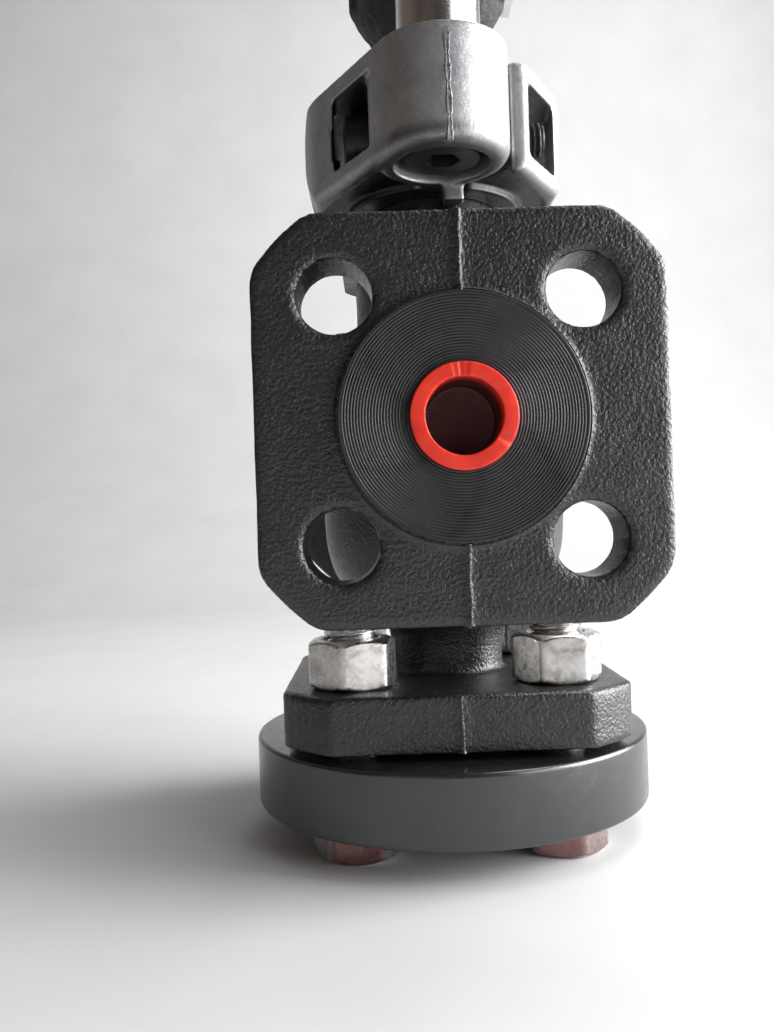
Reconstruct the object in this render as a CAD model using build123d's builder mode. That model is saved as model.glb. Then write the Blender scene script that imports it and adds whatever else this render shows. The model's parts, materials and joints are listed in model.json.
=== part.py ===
"""Straight-through globe valve, DN15 PN40, hand operated through a two-column yoke.

Frame: millimetres, +Z up along the stem, flow along Y with the inlet flange at -Y.
The origin is on the stem axis, in the plane of the four bolt heads the valve stands on.
"""

import os
from math import radians, tan

from build123d import *

os.makedirs("parts", exist_ok=True)

# ---------------------------------------------------------------- driving dimensions
# Pressure flanges and the casting
face_to_face = 130.0
flange_d = 95.0
flange_square = 77.0
flange_corner_r = 7.0
foot_corner_r = 2.5
flange_t = 16.0
raised_face_d = 46.0
raised_face_h = 2.0
bolt_circle_d = 65.0
bolt_hole_d = 14.0
outlet_hole_d = 14.4
port_d = 17.0
passage_d = 15.0
port_depth = 31.0
groove_pitch = 0.5
groove_h = 0.16
tube_d = 38.0
globe_d = 59.0
flare_w = 4.0
flare_l = 12.0
fin_w = 0.7
fin_h = 0.4
belly_low = 34.0
belly_widest = 12.0
belly_high = 8.0
belly_top = 31.0
belly_low_in = 4.0
belly_high_in = 2.0
bottom_neck_rise = 4.0
passage_reach = 5.0
passage_low = 22.0
passage_high = 17.5
groove_start = 0.8

# Bottom port and its blank flange
body_drop = 68.0
bottom_flange_t = 12.5
bottom_neck_d = 27.0
bottom_port_d = 22.0
blank_t = 16.0
blank_gasket_t = 1.5
blank_gasket_d = 50.0
flange_bolt_d = 12.0
flange_bolt_length = 45.0
flange_nut_af = 18.0
flange_nut_h = 10.8
flange_head_h = 7.5
flange_nut_turn = 20.0
bolt_end_h = 1.0
bolt_end_in = 1.6
blank_edge = 1.0

# Seat and trim
seat_thread_d = 24.0
seat_bore_d = 12.0
seat_h = 8.0
seat_top = 3.0
seat_chamfer = 1.5
plug_d = 16.0
plug_h = 10.0
plug_tip = 9.0
plug_contour_in = 2.8
stem_d = 10.0
tenon_d = 6.0
tenon_h = 8.0
pin_d = 2.5
travel = 9.0

# Bonnet, packing and gland
body_top = 40.0
top_neck_d = 40.0
chamber_d = 30.0
bonnet_thread_d = 33.0
bonnet_thread_h = 12.0
bonnet_gasket_t = 1.0
bonnet_hex_af = 46.0
bonnet_hex_h = 9.0
bonnet_hex_turn = 30.0
bonnet_hex_bevel = 1.5
bonnet_neck_d = 30.0
bonnet_top = 82.0
bush_d = 16.0
packing_d = 18.0
packing_floor = 52.0
spring_h = 8.5
spring_wire = 1.3
washer_h = 1.5
packing_ring_h = 2.5
packing_rings_n = 4
packing_vee = 0.35
packing_thick = 0.62
spring_turns = 4
follower_h = 4.0
gland_thread_d = 20.0
gland_hex_af = 24.0
gland_hex_h = 8.5
gland_hex_turn = 15.0
gland_hex_bevel = 1.2
wiper_d = 15.0
wiper_h = 3.0

# Yoke bracket
bracket_bottom = 56.7
bracket_top = 81.0
bracket_half_w = 31.5
bracket_foot_half_w = 28.5
bracket_head_half_w = 30.0
hub_d = 29.0
hub_edge_r = 3.0
column_pitch = 68.0
bracket_foot_r = 2.5
bracket_wall = 3.8
bracket_roof = 4.0
dish_h = 1.8
bracket_floor = 2.4
window_left = (14.9, 23.6)
window_right = (19.8, 27.6)
window_reach = 27.0
web_w = 31.0
web_h = 20.7
ring_d = 42.0
slot_w = 1.4
slot_end_deg = 65.0
slot_bore_x = 4.0
strip_gap_y = 3.5
rib_w = 4.4
rib_x = 3.2
rib_drop = 3.5
bore_overlap = 1.0
clamp_y = 20.5
clamp_z = 67.0
clamp_boss_left = 14.0
clamp_boss_right = 19.0
clamp_boss_l = 13.0
clamp_boss_h = 14.0
clamp_d = 8.0
clamp_head_d = 13.0
clamp_head_h = 8.0
clamp_head_x = -13.2
clamp_end_x = 24.0
clamp_socket_d = 6.0

# Columns and their screws
column_d = 18.0
column_seat = 7.0
column_screw_d = 10.0
column_screw_head_d = 16.0
column_screw_head_h = 6.0
column_screw_length = 26.0
column_socket_af = 7.0
column_socket_share = 0.6
counterbore_d = 20.7
counterbore_h = 7.3
column_stud_d = 14.0
column_stud_h = 33.0
column_nut_af = 21.0
column_nut_h = 12.8
column_washer_d = 25.0
column_washer_h = 2.5
column_nut_turn = 30.0
bar_edge = 0.8
stud_edge = 1.0

# Stem coupling
stem_nut_af = 17.0
stem_nut_h = 5.0
stem_nut_gap = 1.0
stem_nut_turn = 10.0
coupling_bottom = 99.0
coupling_h = 22.0
coupling_d = 39.0
coupling_lobes = 12
lobe_d = 6.8
lobe_root = 1.6
coupling_foot_in = 8.5
coupling_foot_h = 9.5
coupling_waist_in = 3.5
coupling_waist_h = 4.5
coupling_shoulder = 2.5
coupling_shoulder_h = 3.0
coupling_lip = 4.0
stem_head_d = 20.0
stem_head_h = 6.0
boss_d = 25.0
boss_h = 12.5
arm_t = 2.5
arm_w = 28.0
arm_nut_af = 24.0
arm_nut_h = 6.0
arm_nut_turn = 15.0
arm_overhang = 6.0
arm_corner_r = 3.0
pointer_l = 4.0
pointer_w = 3.0

# Crosshead, drive sleeve and handwheel
crosshead_bottom = 150.0
crosshead_h = 16.0
crosshead_w = 58.0
crosshead_l = 40.0
crosshead_hub_d = 29.0
crosshead_corner_r = 9.0
sleeve_d = 24.0
sleeve_flange_d = 34.0
sleeve_flange_h = 5.0
thrust_washer_h = 2.5
cap_h = 4.0
cap_w = 54.0
cap_l = 36.0
cap_screw_d = 5.0
cap_screw_x = 21.5
cap_screw_y = 12.5
cap_corner_r = 8.0
cap_screw_depth = 10.0
cap_head_share = 1.7
cap_head_h = 3.5
cap_socket_d = 4.0
cap_socket_h = 2.0
spindle_d = 16.0
spindle_above = 4.0
spindle_edge = 1.2
wheel_d = 123.0
rim_d = 13.0
wheel_hub_d = 38.0
wheel_hub_h = 16.0
wheel_gap = 10.0
rim_rise = 12.0
spokes_n = 5
spoke_w = 12.0
spoke_t = 7.0
spoke_sink = 4.0
spoke_swell = 1.0
key_w = 5.0
key_h = 4.0
wheel_nut_af = 36.0
wheel_nut_h = 6.0
wheel_nut_bevel = 1.6
sleeve_above = 2.0
sleeve_edge = 1.0
sleeve_inset = 1.0
sleeve_room = 2.0
flange_room = 0.5
wheel_washer_h = 2.0

# Travel scale
scale_t = 2.0
scale_w = 14.0
scale_margin = 15.5
scale_gap = 1.5
scale_screw_d = 4.0
scale_screw_l = 9.0
scale_hole_depth = 8.0
scale_head_d = 7.0
scale_head_h = 2.4

# Port plugs
port_plug_rim_d = 19.8
port_plug_rim_h = 1.2
port_plug_wall = 1.35
port_plug_depth = 12.0
port_plug_floor = 1.5
port_plug_edge = 0.3
port_plug_draft = 0.4
port_plug_lead = 1.5
port_plug_lead_in = 0.6

# Clearances
slide_gap = 0.05
thread_gap = 0.05
seat_gap = 0.15
fork_gap = 0.3
hole_gap = 0.3
head_gap = 0.25
key_gap = 0.1
lip_gap = 0.1

# ---------------------------------------------------------------- heights and places
flow_z = flange_head_h + blank_t + blank_gasket_t + body_drop
half_y = face_to_face / 2
plate_t = flange_t - raised_face_h
flange_back = half_y - flange_t
bolt_r = bolt_circle_d / 2
column_y = column_pitch / 2

blank_bottom = flange_head_h
blank_top = blank_bottom + blank_t
body_bottom = blank_top + blank_gasket_t
bottom_flange_top = body_bottom + bottom_flange_t

seat_top_z = flow_z + seat_top
seat_bottom_z = seat_top_z - seat_h
body_top_z = flow_z + body_top
bonnet_bottom_z = body_top_z - bonnet_thread_h
bonnet_hex_z = body_top_z + bonnet_gasket_t
bonnet_neck_z = bonnet_hex_z + bonnet_hex_h
bonnet_top_z = flow_z + bonnet_top
packing_floor_z = flow_z + packing_floor
washer_z = packing_floor_z + spring_h
packing_z = washer_z + washer_h
follower_z = packing_z + packing_rings_n * packing_ring_h
gland_bottom_z = follower_z + follower_h
gland_top_z = bonnet_top_z + gland_hex_h

bracket_z = flow_z + bracket_bottom
bracket_top_z = flow_z + bracket_top
column_bottom_z = bracket_top_z - column_seat
column_screw_z = bracket_z + counterbore_h
clamp_axis_z = flow_z + clamp_z

plug_bottom_z = flow_z - plug_tip
plug_top_z = seat_top_z + plug_h
coupling_z = flow_z + coupling_bottom
coupling_top_z = coupling_z + coupling_h
stem_head_z = coupling_z + coupling_lip
boss_z = stem_head_z + stem_head_h
boss_top_z = boss_z + boss_h
arm_z = boss_top_z
arm_nut_z = arm_z + arm_t

crosshead_z = flow_z + crosshead_bottom
crosshead_top_z = crosshead_z + crosshead_h
well_z = crosshead_top_z - sleeve_flange_h - 2 * thrust_washer_h
sleeve_flange_z = well_z + thrust_washer_h
upper_washer_z = sleeve_flange_z + sleeve_flange_h
cap_top_z = crosshead_top_z + cap_h
wheel_z = cap_top_z + wheel_gap
wheel_top_z = wheel_z + wheel_hub_h
wheel_nut_z = wheel_top_z + wheel_washer_h
sleeve_top_z = wheel_nut_z + wheel_nut_h + sleeve_above
spindle_top_z = sleeve_top_z + spindle_above

flow_axis = Axis((0, 0, flow_z), (0, 1, 0))
HEX = 6


# ---------------------------------------------------------------- shared shapes
def turned(outline, mode=Mode.ADD):
    """Turns a closed outline of (radius, height) points about the stem axis."""
    with BuildSketch(Plane.XZ) as section:
        with BuildLine():
            Polyline(*outline, close=True)
        make_face()
    revolve(section.sketch, Axis.Z, mode=mode)


def ring(outer_d, inner_d, bottom, height, mode=Mode.ADD):
    """A plain ring on the stem axis."""
    with BuildSketch(Plane.XY.offset(bottom)) as section:
        Circle(outer_d / 2)
        Circle(inner_d / 2, mode=Mode.SUBTRACT)
    extrude(section.sketch, amount=height, mode=mode)


def disc(diameter, bottom, height, mode=Mode.ADD, at=((0, 0),)):
    """Round bars or holes along Z, one at each place."""
    with BuildSketch(Plane.XY.offset(bottom)) as section:
        with Locations(*at):
            Circle(diameter / 2)
    extrude(section.sketch, amount=height, mode=mode)


def hexagon(across_flats, bottom, height, at=((0, 0),), turn=0.0, bevel=0.9, bore=0.0):
    """Hexagons along Z with both faces bevelled round, as on nuts and screw heads."""
    corner_r = across_flats / 3**0.5
    with BuildSketch(Plane.XY.offset(bottom)) as section:
        with Locations(*at):
            RegularPolygon(across_flats / 2, HEX, major_radius=False, rotation=turn)
    extrude(section.sketch, amount=height)
    with BuildSketch(Plane.XZ) as lens:
        with BuildLine():
            Polyline(
                (0, bottom),
                (corner_r - bevel, bottom),
                (corner_r, bottom + bevel * tan(radians(30))),
                (corner_r, bottom + height - bevel * tan(radians(30))),
                (corner_r - bevel, bottom + height),
                (0, bottom + height),
                close=True,
            )
        make_face()
    lens_solid = revolve(lens.sketch, Axis.Z, mode=Mode.PRIVATE)
    with Locations(*at):
        add(lens_solid, mode=Mode.INTERSECT)
    if bore:
        disc(bore, bottom, height, mode=Mode.SUBTRACT, at=at)


def trimmed_plate(plane, thickness, corner_r):
    """A round flange with four flats and eased corners, extruded along the plane's normal."""
    with BuildSketch(plane) as outline:
        Circle(flange_d / 2)
        Rectangle(flange_square, flange_square, mode=Mode.INTERSECT)
        fillet(outline.vertices(), corner_r)
    extrude(outline.sketch, amount=thickness)


def corner_points(radius):
    """Four places on a circle, on its diagonals."""
    offset_xy = radius / 2**0.5
    return [(x * offset_xy, y * offset_xy) for x in (-1, 1) for y in (-1, 1)]


def oval(half_w, end_d, pitch):
    """Plan outline: a middle circle hulled with a circle at each column."""
    with BuildSketch() as outline:
        Circle(half_w)
        with Locations((0, -pitch / 2), (0, pitch / 2)):
            Circle(end_d / 2)
        make_hull()
    return outline.sketch


# ---------------------------------------------------------------- casting
with BuildPart() as valve_body:
    # globe with its two necks
    with BuildSketch(Plane.XZ):
        with BuildLine():
            foot = Line((0, body_bottom), (bottom_neck_d / 2, body_bottom))
            neck = Line(foot @ 1, (bottom_neck_d / 2, bottom_flange_top + bottom_neck_rise))
            belly = Spline(
                neck @ 1,
                (globe_d / 2 - belly_low_in, flow_z - belly_low),
                (globe_d / 2, flow_z - belly_widest),
                (globe_d / 2 - belly_high_in, flow_z + belly_high),
                (top_neck_d / 2, flow_z + belly_top),
                tangents=((0, 1), (0, 1)),
            )
            shoulder = Line(belly @ 1, (top_neck_d / 2, body_top_z))
            top = Line(shoulder @ 1, (0, body_top_z))
            Line(top @ 1, foot @ 0)
        make_face()
    revolve(axis=Axis.Z)
    # tube from flange to flange, thickened where it meets each flange
    with BuildSketch(Plane.XY.offset(flow_z)):
        with BuildLine():
            right = Line((0, flange_back), (tube_d / 2 + flare_w, flange_back))
            flare = TangentArc(
                (tube_d / 2 + flare_w, flange_back),
                (tube_d / 2, flange_back - flare_l),
                tangent=(-0.9, -0.35),
            )
            side = Line(flare @ 1, (tube_d / 2, -(flange_back - flare_l)))
            flare_in = TangentArc(
                side @ 1, (tube_d / 2 + flare_w, -flange_back), tangent=(0, -1)
            )
            left = Line(flare_in @ 1, (0, -flange_back))
            Line(left @ 1, right @ 0)
        make_face()
    revolve(axis=flow_axis)
    # end flanges with their raised faces, and the flange of the bottom port
    inlet_back = Plane((0, -flange_back, flow_z), x_dir=(1, 0, 0), z_dir=(0, -1, 0))
    outlet_back = Plane((0, flange_back, flow_z), x_dir=(1, 0, 0), z_dir=(0, 1, 0))
    for back in (inlet_back, outlet_back):
        trimmed_plate(back, plate_t, flange_corner_r)
        with BuildSketch(back.offset(plate_t)):
            Circle(raised_face_d / 2)
        extrude(amount=raised_face_h)
    trimmed_plate(Plane.XY.offset(body_bottom), bottom_flange_t, foot_corner_r)
    # parting fins left by the two mould halves, in the plane of the stem and flow
    half_square = flange_square / 2
    rf_r = raised_face_d / 2
    fin_run = half_square - rf_r
    for side_y in (-1, 1):
        face_y = side_y * (flange_back + plate_t + fin_h / 2)
        for side_z in (-1, 1):
            with Locations((0, face_y, flow_z + side_z * (rf_r + fin_run / 2))):
                Box(fin_w, fin_h, fin_run)
            with Locations(
                (0, side_y * (flange_back + plate_t / 2), flow_z + side_z * (half_square + fin_h / 2))
            ):
                Box(fin_w, plate_t, fin_h)
        with Locations(
            (0, side_y * (half_square + fin_h / 2), body_bottom + bottom_flange_t / 2)
        ):
            Box(fin_w, fin_h, bottom_flange_t)
    # bolt holes
    for back, hole_d in ((inlet_back, bolt_hole_d), (outlet_back, outlet_hole_d)):
        with BuildSketch(back):
            with Locations(*corner_points(bolt_r)):
                Circle(hole_d / 2)
        extrude(amount=plate_t, mode=Mode.SUBTRACT)
    disc(bolt_hole_d, body_bottom, bottom_flange_t, Mode.SUBTRACT, corner_points(bolt_r))
    # vertical bores: bottom port, seat thread, upper chamber, bonnet thread
    disc(bottom_port_d, body_bottom, seat_bottom_z - body_bottom, Mode.SUBTRACT)
    disc(seat_thread_d, seat_bottom_z, seat_h, Mode.SUBTRACT)
    disc(chamber_d, seat_top_z, bonnet_bottom_z - seat_top_z, Mode.SUBTRACT)
    disc(bonnet_thread_d, bonnet_bottom_z, bonnet_thread_h, Mode.SUBTRACT)
    # ports, then the slanted passages under the seat and over it
    for back in (inlet_back, outlet_back):
        with BuildSketch(back.offset(flange_t)):
            Circle(port_d / 2)
        extrude(amount=-port_depth, mode=Mode.SUBTRACT)
    turn_y = half_y - port_depth
    for start, finish in (
        ((0, -turn_y, flow_z), (0, -passage_reach, flow_z - passage_low)),
        ((0, turn_y, flow_z), (0, passage_reach, flow_z + passage_high)),
    ):
        run = Vector(*finish) - Vector(*start)
        with BuildSketch(Plane(start, z_dir=run)):
            Circle(passage_d / 2)
        extrude(amount=run.length, mode=Mode.SUBTRACT)
        with Locations(start):
            Sphere(passage_d / 2, mode=Mode.SUBTRACT)
    # turned grooves in both raised faces
    grooves_n = int((raised_face_d - port_plug_rim_d - 2) / 2 / groove_pitch)
    for side_y in (-1, 1):
        face = side_y * half_y
        with BuildSketch(Plane.XY.offset(flow_z)):
            for i in range(grooves_n):
                r = port_plug_rim_d / 2 + groove_start + i * groove_pitch
                with BuildLine():
                    Polyline(
                        (r, face),
                        (r + groove_pitch / 2, face - side_y * groove_h),
                        (r + 0.8 * groove_pitch, face),
                        close=True,
                    )
                make_face()
        revolve(axis=flow_axis, mode=Mode.SUBTRACT)
valve_body.part.label = "valve_body"
export_step(valve_body.part, "parts/valve_body.step")


# ---------------------------------------------------------------- port plugs
def port_plug(side):
    """A plastic cup pushed into a port, with a thin rim on the raised face."""
    body_r = port_d / 2 - slide_gap
    inner_r = body_r - port_plug_wall
    rim_r = port_plug_rim_d / 2
    face = side * half_y
    with BuildPart() as cup:
        with BuildSketch(Plane.XY.offset(flow_z)):
            with BuildLine():
                Polyline(
                    (0, face - side * port_plug_depth),
                    (body_r - port_plug_lead_in, face - side * port_plug_depth),
                    (body_r, face - side * (port_plug_depth - port_plug_lead)),
                    (body_r, face),
                    (rim_r, face),
                    (rim_r, face + side * (port_plug_rim_h - port_plug_edge)),
                    (rim_r - port_plug_edge, face + side * port_plug_rim_h),
                    (inner_r + port_plug_edge, face + side * port_plug_rim_h),
                    (inner_r, face + side * (port_plug_rim_h - port_plug_edge)),
                    (inner_r - port_plug_draft, face - side * (port_plug_depth - port_plug_floor)),
                    (0, face - side * (port_plug_depth - port_plug_floor)),
                    close=True,
                )
            make_face()
        revolve(axis=flow_axis)
    return cup.part


inlet_plug = port_plug(-1)
inlet_plug.label = "inlet_plug"
export_step(inlet_plug, "parts/inlet_plug.step")

outlet_plug = port_plug(1)
outlet_plug.label = "outlet_plug"
export_step(outlet_plug, "parts/outlet_plug.step")

# ---------------------------------------------------------------- blank flange and bolting
with BuildPart() as blank_flange:
    turned(
        (
            (0, blank_bottom),
            (flange_d / 2 - blank_edge, blank_bottom),
            (flange_d / 2, blank_bottom + blank_edge),
            (flange_d / 2, blank_top - blank_edge),
            (flange_d / 2 - blank_edge, blank_top),
            (0, blank_top),
        )
    )
    disc(bolt_hole_d, blank_bottom, blank_t, Mode.SUBTRACT, corner_points(bolt_r))
blank_flange.part.label = "blank_flange"
export_step(blank_flange.part, "parts/blank_flange.step")

with BuildPart() as blank_gasket:
    ring(blank_gasket_d, bottom_port_d, blank_top, blank_gasket_t)
blank_gasket.part.label = "blank_gasket"
export_step(blank_gasket.part, "parts/blank_gasket.step")

with BuildPart() as flange_bolts:
    hexagon(flange_nut_af, 0, flange_head_h, corner_points(bolt_r), flange_nut_turn)
    disc(
        flange_bolt_d,
        blank_bottom,
        flange_bolt_length - bolt_end_h,
        at=corner_points(bolt_r),
    )
    disc(
        flange_bolt_d - bolt_end_in,
        blank_bottom + flange_bolt_length - bolt_end_h,
        bolt_end_h,
        at=corner_points(bolt_r),
    )
flange_bolts.part.label = "flange_bolts"
export_step(flange_bolts.part, "parts/flange_bolts.step")

with BuildPart() as flange_nuts:
    hexagon(
        flange_nut_af,
        bottom_flange_top,
        flange_nut_h,
        corner_points(bolt_r),
        turn=flange_nut_turn,
        bore=flange_bolt_d + 2 * thread_gap,
    )
flange_nuts.part.label = "flange_nuts"
export_step(flange_nuts.part, "parts/flange_nuts.step")

# ---------------------------------------------------------------- seat and trim
with BuildPart() as seat_ring:
    ring(seat_thread_d - 2 * thread_gap, seat_bore_d, seat_bottom_z, seat_h)
    turned(
        (
            (0, seat_top_z - seat_chamfer),
            (seat_bore_d / 2, seat_top_z - seat_chamfer),
            (seat_bore_d / 2 + seat_chamfer, seat_top_z),
            (0, seat_top_z),
        ),
        Mode.SUBTRACT,
    )
seat_ring.part.label = "seat_ring"
export_step(seat_ring.part, "parts/seat_ring.step")

with BuildPart() as valve_plug:
    contour_r = seat_bore_d / 2 - seat_gap
    cone_foot = seat_top_z - seat_chamfer + seat_gap
    with BuildSketch(Plane.XZ):
        with BuildLine():
            tip = Line((0, plug_bottom_z), (contour_r - plug_contour_in, plug_bottom_z))
            contour = TangentArc(
                (contour_r, cone_foot), tip @ 1, tangent=(0, -1)
            )
            Polyline(
                contour @ 0,
                (plug_d / 2, cone_foot + plug_d / 2 - contour_r),
                (plug_d / 2, plug_top_z - 1),
                (plug_d / 2 - 1, plug_top_z),
                (0, plug_top_z),
                (0, plug_bottom_z),
            )
        make_face()
    revolve(axis=Axis.Z)
    disc(tenon_d + 2 * thread_gap, plug_top_z - tenon_h, tenon_h, Mode.SUBTRACT)
    with Locations(Location((0, 0, plug_top_z - tenon_h / 2), (0, 90, 0))):
        Cylinder(pin_d / 2 + thread_gap, plug_d, mode=Mode.SUBTRACT)
valve_plug.part.label = "valve_plug"
export_step(valve_plug.part, "parts/valve_plug.step")

with BuildPart() as stem:
    disc(tenon_d, plug_top_z - tenon_h + lip_gap, tenon_h - lip_gap)
    turned(
        (
            (0, plug_top_z),
            (stem_d / 2, plug_top_z),
            (stem_d / 2, boss_z - lip_gap - bar_edge),
            (stem_d / 2 - bar_edge, boss_z - lip_gap),
            (0, boss_z - lip_gap),
        )
    )
    with Locations(Location((0, 0, plug_top_z - tenon_h / 2), (0, 90, 0))):
        Cylinder(pin_d / 2 + thread_gap, plug_d, mode=Mode.SUBTRACT)
stem.part.label = "stem"
export_step(stem.part, "parts/stem.step")

with BuildPart() as plug_pin:
    with Locations(Location((0, 0, plug_top_z - tenon_h / 2), (0, 90, 0))):
        Cylinder(pin_d / 2, plug_d - 1)
plug_pin.part.label = "plug_pin"
export_step(plug_pin.part, "parts/plug_pin.step")

# ---------------------------------------------------------------- bonnet and packing
with BuildPart() as bonnet:
    disc(bonnet_thread_d - 2 * thread_gap, bonnet_bottom_z, bonnet_hex_z - bonnet_bottom_z)
    hexagon(bonnet_hex_af, bonnet_hex_z, bonnet_hex_h, turn=bonnet_hex_turn, bevel=bonnet_hex_bevel)
    disc(bonnet_neck_d, bonnet_neck_z, bonnet_top_z - bonnet_neck_z)
    disc(bush_d, bonnet_bottom_z, bonnet_thread_h, Mode.SUBTRACT)
    disc(stem_d + 2 * hole_gap, bonnet_bottom_z, bonnet_top_z - bonnet_bottom_z, Mode.SUBTRACT)
    disc(packing_d, packing_floor_z, bonnet_top_z - packing_floor_z, Mode.SUBTRACT)
    disc(gland_thread_d, follower_z + 1, bonnet_top_z - follower_z, Mode.SUBTRACT)
bonnet.part.label = "bonnet"
export_step(bonnet.part, "parts/bonnet.step")

with BuildPart() as bonnet_gasket:
    ring(top_neck_d - 1, bonnet_thread_d + 2 * head_gap, body_top_z, bonnet_gasket_t)
bonnet_gasket.part.label = "bonnet_gasket"
export_step(bonnet_gasket.part, "parts/bonnet_gasket.step")

with BuildPart() as guide_bush:
    ring(bush_d - 2 * thread_gap, stem_d + 2 * slide_gap, bonnet_bottom_z, bonnet_thread_h)
guide_bush.part.label = "guide_bush"
export_step(guide_bush.part, "parts/guide_bush.step")

with BuildPart() as packing_spring:
    coil_r = (stem_d + packing_d) / 4
    coil_pitch = (spring_h - spring_wire) / spring_turns
    coil_z = packing_floor_z + spring_wire / 2
    path = Helix(coil_pitch, spring_turns * coil_pitch, coil_r, center=(0, 0, coil_z))
    with BuildSketch(Plane(path @ 0, z_dir=path % 0)) as wire:
        Circle(spring_wire / 2 - slide_gap)
    sweep(wire.sketch, path, is_frenet=True)
packing_spring.part.label = "packing_spring"
export_step(packing_spring.part, "parts/packing_spring.step")

with BuildPart() as packing_washer:
    ring(packing_d - 2 * slide_gap, stem_d + 2 * slide_gap, washer_z, washer_h)
packing_washer.part.label = "packing_washer"
export_step(packing_washer.part, "parts/packing_washer.step")

with BuildPart() as packing_rings:
    mid_r = (stem_d + packing_d) / 4
    for i in range(packing_rings_n):
        low = packing_z + i * packing_ring_h
        turned(
            (
                (stem_d / 2 + slide_gap, low),
                (mid_r, low + packing_ring_h * packing_vee),
                (packing_d / 2 - slide_gap, low),
                (packing_d / 2 - slide_gap, low + packing_ring_h * packing_thick),
                (mid_r, low + packing_ring_h * (packing_vee + packing_thick)),
                (stem_d / 2 + slide_gap, low + packing_ring_h * packing_thick),
            )
        )
packing_rings.part.label = "packing_rings"
export_step(packing_rings.part, "parts/packing_rings.step")

with BuildPart() as gland_follower:
    ring(packing_d - 2 * slide_gap, stem_d + 2 * slide_gap, follower_z, follower_h)
gland_follower.part.label = "gland_follower"
export_step(gland_follower.part, "parts/gland_follower.step")

with BuildPart() as gland_nut:
    hexagon(gland_hex_af, bonnet_top_z, gland_hex_h, turn=gland_hex_turn, bevel=gland_hex_bevel)
    disc(gland_thread_d - 2 * thread_gap, gland_bottom_z, bonnet_top_z - gland_bottom_z)
    disc(stem_d + 2 * hole_gap, gland_bottom_z, gland_top_z - gland_bottom_z, Mode.SUBTRACT)
    disc(wiper_d, gland_top_z - wiper_h, wiper_h, Mode.SUBTRACT)
gland_nut.part.label = "gland_nut"
export_step(gland_nut.part, "parts/gland_nut.step")

with BuildPart() as stem_wiper:
    ring(wiper_d - 2 * slide_gap, stem_d + 2 * slide_gap, gland_top_z - wiper_h, wiper_h)
stem_wiper.part.label = "stem_wiper"
export_step(stem_wiper.part, "parts/stem_wiper.step")

# ---------------------------------------------------------------- yoke bracket
column_points = [(0, -column_y), (0, column_y)]
bracket_h = bracket_top - bracket_bottom
floor_z = bracket_z + dish_h + bracket_floor
roof_z = bracket_top_z - bracket_roof

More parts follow.
